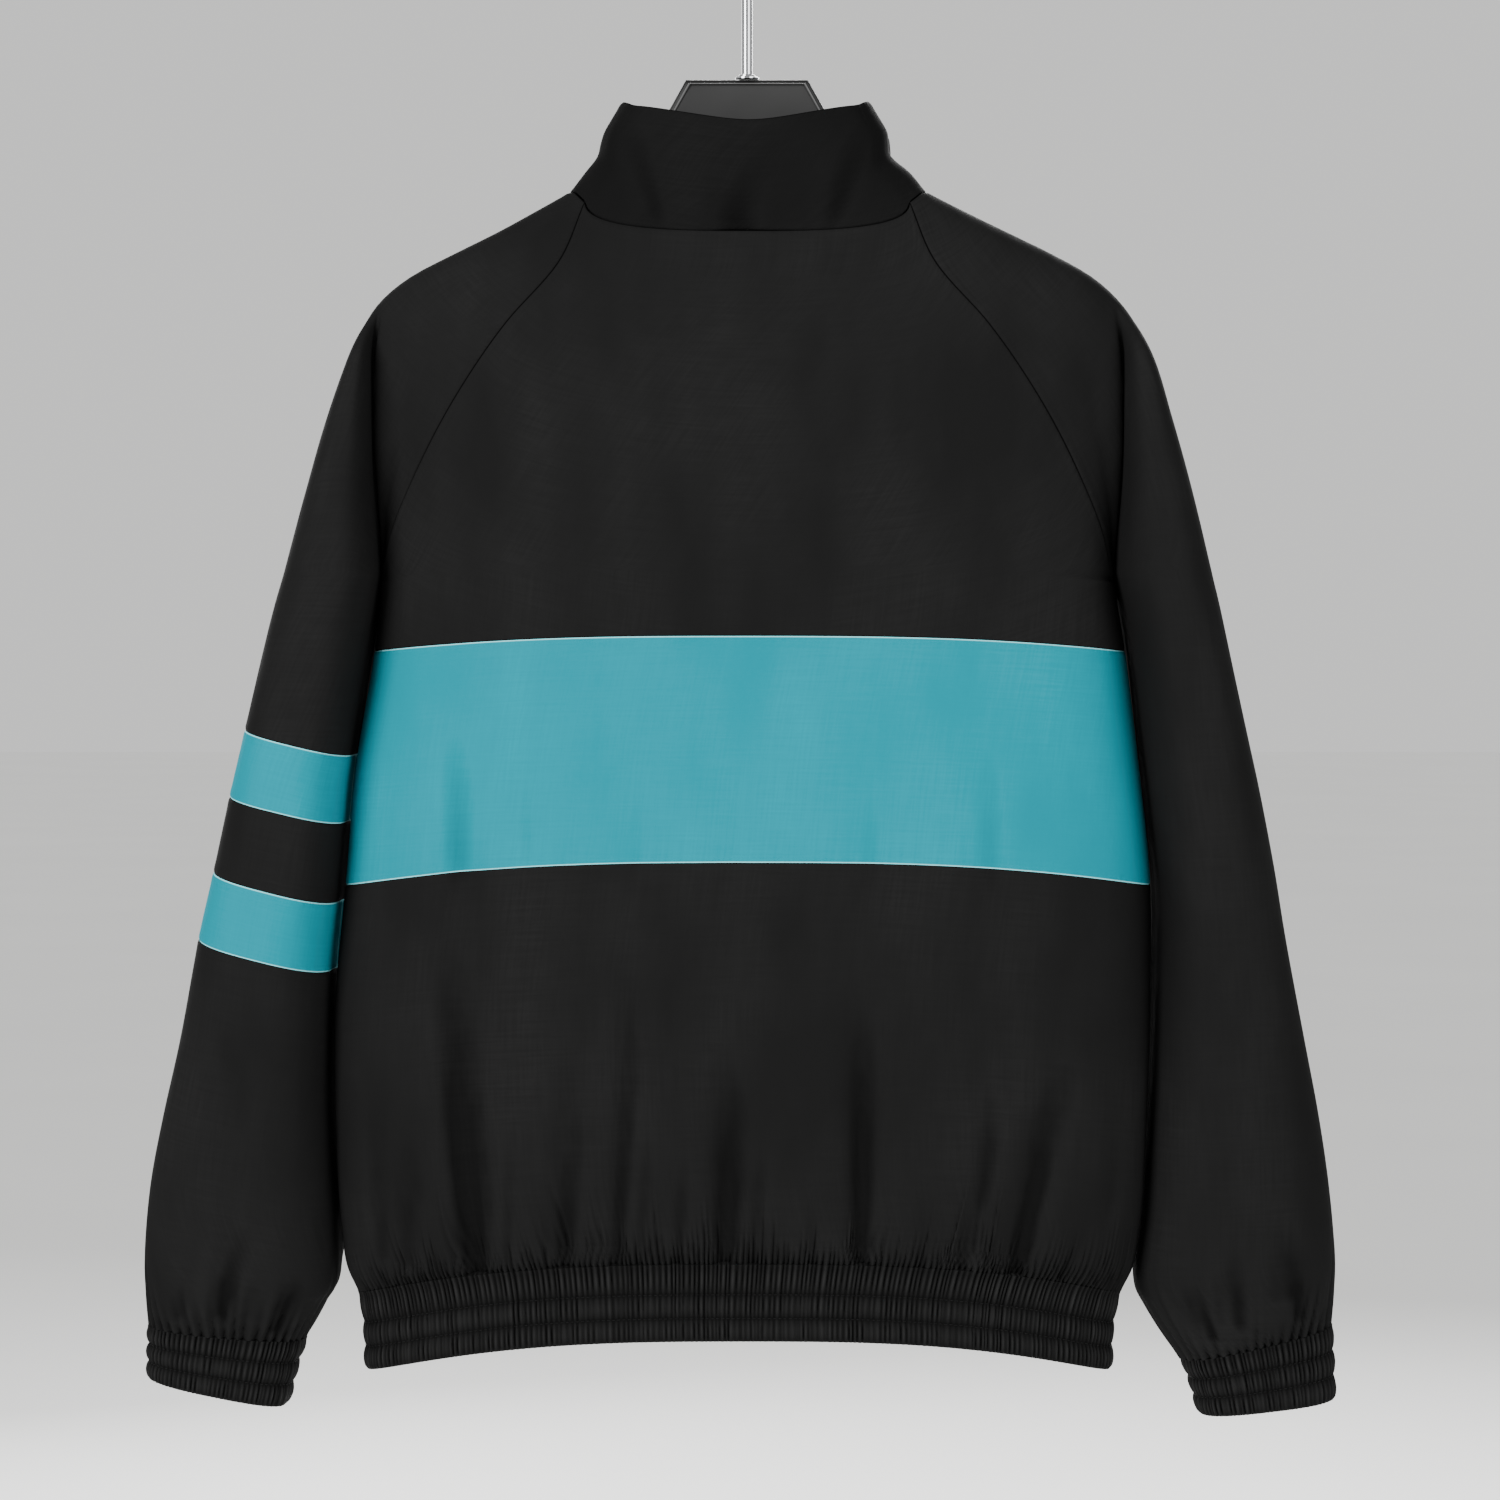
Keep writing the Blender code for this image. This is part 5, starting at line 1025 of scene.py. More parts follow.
# elastic hem and cuffs
elastic = {
    "ribWidth": 3.2 * millimetre, "ribSpread": (0.62, 1.38), "ribHeight": 2.3 * millimetre,
    "pinch": 1.1 * millimetre,
    # how far a channel's ribs differ from the common ones, and the dip of the free edge
    "ownRibs": 0.4, "edgeSink": 0.2,
    "inside": 2.0 * millimetre, "tuck": 5.0 * millimetre, "columnStep": 0.7 * millimetre, "rowsInChannel": 8,
    "seeds": {"hem": 71, "left": 83, "right": 97},
    "hemRowsZ": (-0.8791, -0.8984, -0.9135, -0.9280),
    "left": table(
        "t outerX  outerZ   innerX  innerZ   halfDepth forward",
        (0, 0.3765, -0.9018, 0.2791, -0.9106, 0.0300, 0.006),
        (1, 0.3768, -0.9128, 0.2834, -0.9246, 0.0285, 0.006),
        (2, 0.3772, -0.9240, 0.2870, -0.9386, 0.0275, 0.006),
        (3, 0.3776, -0.9350, 0.2906, -0.9528, 0.0265, 0.006)),
    "right": table(
        "t outerX  outerZ   innerX  innerZ   halfDepth forward",
        (0, 0.3682, -0.9018, 0.2747, -0.9233, 0.0300, 0.006),
        (1, 0.3690, -0.9172, 0.2790, -0.9350, 0.0285, 0.006),
        (2, 0.3697, -0.9327, 0.2825, -0.9466, 0.0275, 0.006),
        (3, 0.3704, -0.9482, 0.2854, -0.9582, 0.0265, 0.006)),
}


def planNormals(line, closed):
    along = np.roll(line, -1, axis=0) - np.roll(line, 1, axis=0) if closed else np.gradient(line, axis=0)
    normals = np.stack([along[:, 1], -along[:, 0], np.zeros(len(line))], axis=1)
    return normals / np.linalg.norm(normals, axis=1)[:, None]


def gatheredStrip(name, lineAt, closed, seed):
    # an elastic strip in three sewn channels, its ribs raised over a plain inside
    length = np.linalg.norm(np.diff(lineAt(0.0), axis=0), axis=1).sum()
    fractions = np.linspace(0.0, 1.0, int(round(length / elastic["columnStep"])) + 1)
    if closed:
        fractions = fractions[:-1]
    patterns = []
    for n in (0, 2, 3):
        edges, ribHeights = ribRow(length, seed + n)
        i, _, crest = ribAt(fractions * length, edges)
        patterns.append(ribHeights[i] * crest)
    own = elastic["ownRibs"]
    mixed = [pattern * own + patterns[0] * (1 - own) for pattern in patterns]
    outer = []
    heights = []
    for t in np.linspace(0.0, 3.0, 3 * elastic["rowsInChannel"] + 1):
        channel = min(int(t), 2)
        within = t - channel
        swell = math.sin(within * math.pi) ** 0.7 if 0 < within < 1 else 0.0
        swell = max(swell, 0.6) if t < 0.5 else swell
        beside = mixed[channel]
        if within < 0.5 and channel > 0:
            beside = beside * (0.5 + within) + mixed[channel - 1] * (0.5 - within)
        if within > 0.5 and channel < 2:
            beside = beside * (1.5 - within) + mixed[channel + 1] * (within - 0.5)
        height = beside * (0.55 + 0.45 * swell)
        line = resample(lineAt(t), fractions)
        offset = elastic["ribHeight"] * (height - (elastic["edgeSink"] if t == 3.0 else 0.0))
        offset = offset - elastic["pinch"] * (1 - swell)
        outer.append(line + planNormals(line, closed) * offset[:, None])
        # the mask for the rib tops' painted highlight and the grooves' painted shade
        heights.append(height * (0.45 + 0.55 * swell))
    inner = []
    for t in (0.0, 1.0, 2.0, 3.0):
        line = resample(lineAt(t), fractions)
        tuck = elastic["tuck"] if t == 0.0 else 0.0   # the seam allowance stands up behind the cloth
        deep = line - planNormals(line, closed) * (elastic["inside"] + tuck)
        inner.append(deep + np.array([0.0, 0.0, 0.45 * tuck]))
    wallFromRows(name, outer, inner, np.array(heights), closed)


def wallFromRows(name, outer, inner, heights, closed):
    # a closed wall from rows of an outer and an inner face that have the same columns
    columns = len(outer[0])
    count = len(outer) + len(inner)
    faces = gridFaces(count, columns, True, closed)
    if not closed:
        # end faces as fans between matching shares of the outer and the inner rows
        last = len(outer) - 1
        opposite = [count - 1 - int(round(k / last * (len(inner) - 1))) for k in range(last + 1)]
        for column, turn in ((0, -1), (columns - 1, 1)):
            for k in range(last):
                rows = [k, k + 1, opposite[k + 1]] + ([opposite[k]] if opposite[k] != opposite[k + 1] else [])
                faces.append([row * columns + column for row in rows][::turn])
    mesh = newMesh(name, np.concatenate(outer + inner[::-1]), faces, 75)
    markPoints(mesh, ribHeight=np.concatenate([heights.ravel(), np.full(len(inner) * columns, 0.4)]))
    addPiece(name, mesh, elasticNylon)


def hemLine(sideZ):
    left, right = cutAtZip(levelLine("front", sideZ))
    return np.concatenate([left[::-1], levelLine("back", sideZ)[1:], right[1:]])


def hemLineAt(t):
    return hemLine(float(np.interp(t, (0, 1, 2, 3), elastic["hemRowsZ"])))


def cuffLineAt(side):
    return lambda t: ringLine(elastic[side], t, side)[::1 if side == "left" else -1]


buildTorso()
print("back and fronts ready")
buildSleeve("left")
buildSleeve("right")
print("sleeves ready")
gatheredStrip("hemGathers", hemLineAt, False, elastic["seeds"]["hem"])
for side in ("left", "right"):
    gatheredStrip(f"cuff{side.title()}Gathers", cuffLineAt(side), True, elastic["seeds"][side])
print("hem and cuffs ready")


collar = {
    "length": 0.53, "height": 0.07, "step": 3.4 * millimetre, "rowStep": 3.0 * millimetre,
    "thickness": 1.3 * millimetre, "lift": 0.0001, "waves": 0.9 * millimetre, "waveSize": 0.05, "waveSeed": 5,
    "tuckIn": 1.0 * millimetre, "tuckDown": 1.6 * millimetre,
    "sideZ": -0.1360, "peak": 0.0042, "backZ": -0.1485, "frontZ": -0.1680, "topCurve": 0.25,
    # from the neck seam (t = 0) to the top edge: scales of the neck seam's loop
    "scales": table(
        "t     left   right  back   front",
        (0.00, 1.000, 1.000, 1.00, 1.00), (0.22, 0.915, 0.910, 1.04, 1.00), (0.40, 0.845, 0.808, 1.06, 1.00),
        (0.55, 0.826, 0.795, 1.06, 1.00), (0.66, 0.808, 0.788, 1.05, 1.00), (0.82, 0.762, 0.744, 1.03, 1.00),
        (1.00, 0.707, 0.690, 1.00, 1.00)),
}


def neckLine():
    # the neck seam from the zip round the wearer's left, back and right to the zip
    frontLeft, frontRight = cutAtZip(betweenSeams("front", 0.0))
    over = []
    for side in ("left", "right"):
        front, back = [np.concatenate(headHalf(side, face, 0.0)) for face in ("front", "back")]
        over.append(np.concatenate([front, back[::-1]]))
    return np.concatenate([frontLeft[::-1], over[0], betweenSeams("back", 0.0), over[1][::-1], frontRight])


def collarShape(points, normals):
    offset = creaseOffsets(points, normals, "collarBack", "back")
    offset += creaseOffsets(points, normals, "collarFront", "front")
    return offset + softWaves(points, collar["waveSize"], collar["waves"], collar["waveSeed"])


def buildCollar():
    line = neckLine()
    keep = np.concatenate([[True], np.linalg.norm(np.diff(line, axis=0), axis=1) > 1e-6])
    base = resample(line[keep], fineSteps(collar["length"], collar["step"]))
    fromMiddle = np.abs(base[:, 0]) / np.abs(base[:, 0]).max()
    curve = collar["topCurve"]
    share = 1 - (np.sqrt(fromMiddle**2 + curve**2) - curve) / (math.sqrt(1 + curve**2) - curve)
    middle = np.where(base[:, 1] > 0, collar["backZ"], collar["frontZ"])
    top = collar["sideZ"] + (middle - collar["sideZ"]) * share
    top = top + collar["peak"] * smoothstep((fromMiddle - 0.84) / 0.16)
    grid = []
    for t in fineSteps(collar["height"], collar["rowStep"])[::-1]:
        left, right, back, front = [read(collar["scales"], name, t)
                                    for name in ("left", "right", "back", "front")]
        row = base.copy()
        row[:, 0] *= np.where(row[:, 0] > 0, left, right)
        row[0, 0], row[-1, 0] = form["frontEdge"], -form["frontEdge"]
        row[:, 1] *= np.where(row[:, 1] > 0, back, front)
        row[:, 2] += (top - row[:, 2]) * t + collar["lift"] * (1 - t)
        grid.append(row)
    # over the shoulders the sewn edge goes in under the other cloth, so no light comes through the seam
    tucked = planNormals(base, False) * collar["tuckIn"] + np.array([0.0, 0.0, collar["tuckDown"]])
    grid[-1] = grid[-1] - tucked * smoothstep(fromMiddle / 0.4)[:, None]
    clothPiece("collarCloth", [partOf(grid, ("top", "bottom", "first", "last"))], collarNylon, collarShape,
               collar["thickness"])
    return grid


collarGrid = buildCollar()
print("collar ready")


# hanger and hook
hanger = {
    "sides": 48, "power": 4.0, "slices": 110, "sliceCrowding": 1.1,
    "endRound": 0.0040, "endFlat": 0.35,   # an arm's end rounds off over this length, down to this share
    "blockEnd": 0.0650, "bevelFrom": 0.86, "rimSink": 0.0002,
    "sections": table(
        "t       top      bottom   halfDepth",
        (0.0000, -0.1180, -0.1720, 0.0070), (0.0385, -0.1180, -0.1740, 0.0070),
        (0.0490, -0.1370, -0.1770, 0.0075),
        (0.0640, -0.1620, -0.1880, 0.0085), (0.0850, -0.1810, -0.2060, 0.0100),
        (0.1100, -0.1950, -0.2190, 0.0120),
        (0.1500, -0.2165, -0.2410, 0.0150), (0.1850, -0.2350, -0.2580, 0.0165),
        (0.2050, -0.2470, -0.2680, 0.0160),
        (0.2150, -0.2560, -0.2690, 0.0110)),
    "rimWidth": 1.8 * millimetre, "rimDepth": 0.7 * millimetre,   # a raised rim round the block's faces
    "rim": [(0.0370, -0.1205), (0.0462, -0.1372), (0.0560, -0.1530), (0.0560, -0.1570), (0.0500, -0.1600)],
    "rodRadius": 0.0035, "rodSides": 28, "bend": 0.0200, "shankTopZ": -0.0640, "ease": 0.6, "start": -50.0,
    "end": 205.0,
    "ferruleRadius": 0.0075, "ferruleHeight": 0.0030, "ferruleSides": 40, "gap": 0.0003,
    # the ferrule is turned: a flange, a short neck and rounded edges, as shares of its radius and height
    "ferruleProfile": [(0.90, 0.0), (1.0, 0.12), (1.0, 0.42), (0.93, 0.55), (0.72, 0.62),
                       (0.70, 0.92), (0.64, 1.0)],
}


def roundAngles(count):
    return np.linspace(0.0, 2 * math.pi, count + 1)[:-1]


def loftFaces(rings, columns, capped=True):
    # faces over closed rings, with end caps or with the last ring joined to the first
    faces = [[a, d, c, b] for a, b, c, d in gridFaces(rings, columns, not capped, True)]
    if capped:
        faces += [list(range(columns))[::-1], [(rings - 1) * columns + c for c in range(columns)]]
    return faces


def solidPiece(name, points, faces, sharp, material, node, slot, body="garment"):
    mesh = newMesh(name, points, faces, sharp)
    work = bmesh.new()
    work.from_mesh(mesh)
    bmesh.ops.remove_doubles(work, verts=work.verts, dist=1e-7)
    bmesh.ops.recalc_face_normals(work, faces=work.faces)
    work.to_mesh(mesh)
    work.free()
    addPiece(name, mesh, material, body, node, slot)


def buildHanger():
    rows = hanger["sections"]
    end = rows["t"][-1]
    shares = np.linspace(-1.0, 1.0, 2 * hanger["slices"] + 1)
    places = end * np.sign(shares) * np.abs(shares) ** hanger["sliceCrowding"]
    angle = roundAngles(hanger["sides"]) + math.pi / hanger["sides"]
    points = []
    arris = []
    for x in places:
        top, bottom, halfDepth = [float(np.interp(abs(x), rows["t"], rows[name]))
                                  for name in ("top", "bottom", "halfDepth")]
        close = (end - abs(x)) / hanger["endRound"]
        rounding = math.sqrt(1 - (1 - min(close, 1.0)) ** 2 * 0.75)
        halfHeight = (top - bottom) / 2
        y, z = onSection(angle, halfDepth * rounding,
                         halfHeight * (hanger["endFlat"] + (1 - hanger["endFlat"]) * rounding),
                         hanger["power"])
        points.append(np.stack([np.full(len(angle), x), y, (top + bottom) / 2 + z], axis=1))
        # painted shade along the block's top and bottom bevel
        arris.append(-smoothstep((z / z.max() - hanger["bevelFrom"]) / 0.1)
                     * smoothstep((hanger["blockEnd"] - abs(x)) / 0.01))
    mesh = newMesh("hangerMoulding", np.concatenate(points), loftFaces(len(places), len(angle)), 50)
    # the block's edge: painted shade on the outer bevel (below 0) and a painted highlight on the paler line
    # inside it (above 0)
    markPoints(mesh, arris=np.concatenate(arris))
    addPiece("hangerMoulding", mesh, hangerMaterial, "garment", "hanger", "hanger_plastic")
    # raised rim round both faces of the block in the neck
    right = hanger["rim"]
    outline = [Vector((x, 0.0, z)) for x, z in [(-right[0][0], right[0][1]), *right,
                                               *[(-x, z) for x, z in right[:0:-1]]]]
    centre = sum(outline, Vector()) / len(outline)
    width, height = hanger["rimWidth"], hanger["rimDepth"]
    profile = [(0.0, 0.0), (0.25 * width, height), (0.75 * width, height), (width, 0.0)]
    for name, face in (("blockRimBack", 1), ("blockRimFront", -1)):
        points = []
        for point in outline:
            inward = (centre - point).normalized()
            depth = float(np.interp(abs(point.x), rows["t"], rows["halfDepth"])) - hanger["rimSink"]
            points += [(point.x + inward.x * s, face * (depth + h), point.z + inward.z * s)
                       for s, h in profile]
        faces = [quad[::face] for quad in gridFaces(len(outline), len(profile), True, True)]
        mesh = newMesh(name, points, faces, 30)
        # the rim's outer strip painted dark as painted shade, its crest paler as a painted highlight
        markPoints(mesh, arris=np.tile([-1.0, 1.0, 0.3, 0.0], len(outline)))
        addPiece(name, mesh, hangerMaterial)


def rodShell(route, radius, sides, side):
    # a round rod along a flat route; side stands square to the route's plane
    tangents = np.gradient(route, axis=0)
    tangents /= np.linalg.norm(tangents, axis=1)[:, None]
    angle = roundAngles(sides)[:, None]
    rings = [point + radius * (np.cos(angle) * np.cross(tangent, side) + np.sin(angle) * np.array(side))
             for point, tangent in zip(route, tangents)]
    return np.concatenate(rings), loftFaces(len(route), sides)


def hookRoute():
    # from the ferrule up the shank, through an easy curve into the hook's arc
    radius = hanger["bend"] + hanger["rodRadius"]
    start, end = math.radians(hanger["start"]), math.radians(hanger["end"])
    arc = [np.array((radius * math.cos(a), 0.0, radius * math.sin(a) - hanger["bend"]))
           for a in np.linspace(start, end, 60)]
    foot = np.array([0.0, 0.0, hanger["sections"]["top"][0] + hanger["ferruleHeight"] + 2 * hanger["gap"]])
    bend = np.array([0.0, 0.0, hanger["shankTopZ"]])
    reach = hanger["ease"] * (arc[0][2] - hanger["shankTopZ"])
    pull = [bend, bend + np.array([0.0, 0.0, reach]),
            arc[0] - np.array([-math.sin(start), 0.0, math.cos(start)]) * reach, arc[0]]
    curve = []
    for u in np.linspace(0.0, 1.0, 20)[:-1]:
        weights = ((1 - u)**3, 3 * u * (1 - u)**2, 3 * u * u * (1 - u), u**3)
        curve.append(sum(w * p for w, p in zip(weights, pull)))
    return [foot, (foot + bend) / 2] + curve + arc


def buildHook():
    route = np.array(hookRoute())
    sides, radius = hanger["rodSides"], hanger["rodRadius"]
    points, _ = rodShell(route, radius, sides, (0.0, 1.0, 0.0))
    # the rod's free end is rounded
    tip, along = points[-sides:], (route[-1] - route[-2]) / np.linalg.norm(route[-1] - route[-2])
    caps = [route[-1] + (tip - route[-1]) * math.sqrt(max(1 - share**2, 0.0004)) + along * radius * share
            for share in (0.5, 0.85, 1.0)]
    points = np.concatenate([points, *caps])
    solidPiece("hookRod", points, loftFaces(len(points) // sides, sides), 60, chromeMaterial, "hanger_hook",
               "chrome")
    low = hanger["sections"]["top"][0] + hanger["gap"]
    radius, height, profile = hanger["ferruleRadius"], hanger["ferruleHeight"], hanger["ferruleProfile"]
    points = [(radius * r * math.cos(a), radius * r * math.sin(a), low + height * h)
              for r, h in profile for a in roundAngles(hanger["ferruleSides"])]
    solidPiece("hookFerrule", points, loftFaces(len(profile), hanger["ferruleSides"]), 35, chromeMaterial,
               "hanger_ferrule", "chrome")


buildHanger()
buildHook()
print("hanger ready")


# zip and channel stitches
zipper = {
    "toothPitch": 2.9 * millimetre,      # between the teeth of one side
    "tooth": (3.4 * millimetre, 2.3 * millimetre, 1.25 * millimetre),
    "toothShift": 1.5 * millimetre,
    "tapeInner": 0.00002, "tapeWidth": 0.0160, "tapeThickness": 0.6 * millimetre,
    "sliderTopDrop": 0.0030, "sliderHeight": 0.0120, "boxHeight": 0.0090, "endRoom": 0.0003,
    "wall": 0.0015, "elasticWall": 0.0022, "behindCloth": 0.0007, "hemSide": 0.0120,
    "tapePoints": 240, "tapeColumns": 13,
}
stitching = {"pitch": 3.2 * millimetre, "length": 2.3 * millimetre, "radius": 0.22 * millimetre,
             "lift": 0.0001}


def frontLine():
    # the cloth's outer face beside the zip, as y and z from the collar's top to the hem's edge
    rows = [row[0] for row in collarGrid]
    for stretch in ("upper", "band", "lower"):
        rows += [cutAtZip(row)[0][-1] for row in rowsOf("front", stretch)[1::3]]
    rows += [hemLine(z)[0] for z in elastic["hemRowsZ"][1:]]
    line = np.array([(point[1], point[2]) for point in rows])
    return line[np.concatenate([[True], np.diff(line[:, 1]) < -1e-4])]


def cutLine(line, topZ, bottomZ):
    # the stretch of the front line between two heights
    heights = -line[:, 1]
    kept = line[(heights > -topZ + 1e-5) & (heights < -bottomZ - 1e-5)]
    ends = [(np.interp(-z, heights, line[:, 0]), z) for z in (topZ, bottomZ)]
    return np.concatenate([[ends[0]], kept, [ends[1]]])


def grown(name, lines, sizes, pivot, shape, material, *stands):
    # a piece grown by Geometry Nodes: a small shape at even steps along lines, by turns to either side
    tree = bpy.data.node_groups.new(name, "GeometryNodeTree")
    tree.interface.new_socket("Geometry", in_out="INPUT", socket_type="NodeSocketGeometry")
    identifiers = {label: tree.interface.new_socket(label, in_out="INPUT",
                                                    socket_type="NodeSocketFloat").identifier
                   for label in sizes}
    tree.interface.new_socket("Geometry", in_out="OUTPUT", socket_type="NodeSocketGeometry")
    given = addNode(tree, "NodeGroupInput").node.outputs
    curve = addNode(tree, "GeometryNodeMeshToCurve", {"Mesh": given["Geometry"]})
    points = addNode(tree, "GeometryNodeCurveToPoints", {"Curve": curve, "Length": given["Spacing"]},
                     mode="LENGTH")
    index = addNode(tree, "GeometryNodeInputIndex")
    parity = addNode(tree, "ShaderNodeMath", {0: index, 1: 2.0}, operation="MODULO")
    swing = addNode(tree, "ShaderNodeMath", {0: parity, 1: 2.0, 2: -1.0}, operation="MULTIPLY_ADD")
    aside = addNode(tree, "ShaderNodeMath", {0: swing, 1: given["Side Shift"]}, operation="MULTIPLY")
    shift = addNode(tree, "ShaderNodeCombineXYZ", {0: aside})
    moved = addNode(tree, "GeometryNodeSetPosition", {"Geometry": points, "Offset": shift})
    turn = addNode(tree, "FunctionNodeAlignRotationToVector", {"Vector": points.node.outputs["Tangent"]},
                   axis="Z", pivot_axis=pivot)
    copies = addNode(tree, "GeometryNodeInstanceOnPoints",
                     {"Points": moved, "Instance": shape(tree, given), "Rotation": turn})
    real = addNode(tree, "GeometryNodeRealizeInstances", {"Geometry": copies})
    painted = addNode(tree, "GeometryNodeSetMaterial", {"Geometry": real, "Material": material})
    addNode(tree, "NodeGroupOutput", {"Geometry": painted})

    points = []
    edges = []
    for line in lines:
        edges += [(len(points) + n, len(points) + n + 1) for n in range(len(line) - 1)]
        points += [tuple(point) for point in line]
    mesh = bpy.data.meshes.new(name)
    mesh.from_pydata(points, edges, [])
    path = placed(name, mesh)
    modifier = path.modifiers.new("grow", "NODES")
    modifier.node_group = tree
    for label, value in sizes.items():
        modifier[identifiers[label]] = value
    mesh = bpy.data.meshes.new_from_object(path.evaluated_get(bpy.context.evaluated_depsgraph_get()))
    bpy.data.objects.remove(path)
    mesh.materials.clear()
    mesh.shade_smooth()
    mesh.set_sharp_from_angle(angle=math.radians(50))
    addPiece(name, mesh, material, "garment", *stands)


def threadBead(tree, given):
    bead = addNode(tree, "GeometryNodeMeshUVSphere", {"Segments": 6, "Rings": 4, "Radius": 1.0})
    half = addNode(tree, "ShaderNodeMath", {0: given["Stitch Length"], 1: 0.5}, operation="MULTIPLY")
    size = addNode(tree, "ShaderNodeCombineXYZ",
                   {0: given["Thread Radius"], 1: given["Thread Radius"], 2: half})
    return addNode(tree, "GeometryNodeTransform", {"Geometry": bead, "Scale": size})


def toothBlock(tree, given):
    size = addNode(tree, "ShaderNodeCombineXYZ", {0: given["Tooth Width"], 1: given["Tooth Depth"],
                                                  2: given["Tooth Height"]})
    block = addNode(tree, "GeometryNodeMeshCube", {"Size": size, "Vertices X": 3})
    return addNode(tree, "GeometryNodeSubdivisionSurface", {"Mesh": block, "Level": 1, "Edge Crease": 0.55})


def buildZip():
    line = frontLine()
    collarTop, hemEdge, room = line[0, 1], line[-1, 1], zipper["endRoom"]
    sliderBottom = collarTop - zipper["sliderTopDrop"] - zipper["sliderHeight"]
    chain = cutLine(line, sliderBottom - room, hemEdge + zipper["boxHeight"] + room)
    width, depth, height = zipper["tooth"]
    grown("zipTeeth", [[(0.0, y + depth / 2 + 0.0001, z) for y, z in chain]],
          {"Spacing": zipper["toothPitch"] / 2, "Side Shift": zipper["toothShift"], "Tooth Width": width,
           "Tooth Depth": depth, "Tooth Height": height}, "X", toothBlock, acetalMaterial, "zip_chain",
           "zip_plastic")

    tape = cutLine(line, collarTop - room, hemEdge + room)
    even, own = [np.linspace(0, 1, count) for count in (zipper["tapePoints"], len(tape))]
    tape = np.stack([np.interp(even, own, tape[:, k]) for k in (0, 1)], axis=1)
    along = np.gradient(tape, axis=0)
    along /= np.linalg.norm(along, axis=1)[:, None]
    back = np.stack([-along[:, 1], along[:, 0]], axis=1)
    besideHem = tape[:, 1] < elastic["hemRowsZ"][0] + zipper["hemSide"]
    behind = np.where(besideHem, zipper["elasticWall"], zipper["wall"]) + zipper["behindCloth"]
    columns = zipper["tapeColumns"]
    across = zipper["tapeInner"] + zipper["tapeWidth"] * np.linspace(0.0, 1.0, columns)
    for side, sign in sideSign.items():
        grid = [np.stack([sign * across, np.full(columns, y), np.full(columns, z)], axis=1)[::int(sign)]
                for y, z in tape + back * behind[:, None]]
        clothPiece(f"zipTape{side.title()}", [partOf(grid, ())], tapeMaterial, None, zipper["tapeThickness"])


def buildStitches():
    lines = []
    for t in (1.0, 2.0):
        for lineAt, count in ((hemLineAt, 500), (cuffLineAt("left"), 160), (cuffLineAt("right"), 160)):
            line = resample(lineAt(t), np.linspace(0.0, 1.0, count))
            lines.append(line + planNormals(line, False) * stitching["lift"])
    grown("channelStitches", lines,
          {"Spacing": stitching["pitch"], "Side Shift": 0.0, "Stitch Length": stitching["length"],
           "Thread Radius": stitching["radius"]}, "AUTO", threadBead, threadMaterial)


buildZip()
buildStitches()
print("zip and stitching ready")


cloths = {
    # piece: the node it stands for, slot, flat width and length, area, how it is held; {} is a side
    "backUpperCloth": ("back_upper", "black_cloth", (0.50, 0.30), 0.100, "hung"),
    "backBandCloth": ("back_band", "teal_cloth", (0.52, 0.16), 0.078, "hung"),
    "backLowerCloth": ("back_lower", "black_cloth", (0.58, 0.27), 0.149, "gathered"),
    "frontUpper{}Cloth": ("front_upper_{}", "black_cloth", (0.26, 0.28), 0.045, "hung"),
    "frontBand{}Cloth": ("front_band_{}", "teal_cloth", (0.27, 0.15), 0.039, "hung"),
    "frontLower{}Cloth": ("front_lower_{}", "black_cloth", (0.30, 0.26), 0.073, "gathered"),
    "sleeveLeftUpperCloth": ("sleeve_left_upper", "black_cloth", (0.42, 0.36), 0.111, "hung"),
    "sleeveLeftStripeUpperCloth": ("sleeve_left_stripe_upper", "teal_cloth", (0.37, 0.046), 0.0162, "hung"),
    "sleeveLeftMiddleCloth": ("sleeve_left_middle", "black_cloth", (0.37, 0.053), 0.0189, "hung"),
    "sleeveLeftStripeLowerCloth": ("sleeve_left_stripe_lower", "teal_cloth", (0.37, 0.047), 0.0168, "hung"),
    "sleeveLeftLowerCloth": ("sleeve_left_lower", "black_cloth", (0.37, 0.26), 0.093, "gathered"),
    "sleeveRightWholeCloth": ("sleeve_right", "black_cloth", (0.42, 0.74), 0.256, "gathered"),
    "hemGathers": ("hem", "elastic_cloth", (1.30, 0.05), None, "gathered"),
    "cuff{}Gathers": ("cuff_{}", "elastic_cloth", (0.32, 0.042), None, "gathered"),
    "collarCloth": ("collar", "black_cloth", (0.53, 0.08), 0.038, "hung"),
    "zipTape{}": ("zip_tape_{}", "zip_tape", (0.016, 0.79), None, "hung"),
}
for name, (node, slot, flat, area, held) in cloths.items():
    for side in ("left", "right") if "{}" in name else ("",):
        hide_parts(node.format(side))


# slider, pull tab and retainer box
zipParts = {
    "loopPoints": 40, "bevel": 0.30 * millimetre,
    "plate": 1.3 * millimetre,           # thickness of the slider's two plates
    "archRadius": 3.4 * millimetre, "archWire": 0.6 * millimetre,
    "bar": 1.6 * millimetre, "hole": (1.6 * millimetre, 2.1 * millimetre),
    "gripRibs": 4, "relief": 0.22 * millimetre,
}


def loop(x, z, halfWidth, halfHeight, power=4.0, taper=0.0):
    # a rounded outline; taper widens its top and narrows its foot
    across, up = onSection(roundAngles(zipParts["loopPoints"]), 1.0, 1.0, power)
    return np.stack([x + halfWidth * across * (1 + taper * up), z + halfHeight * up], axis=1)


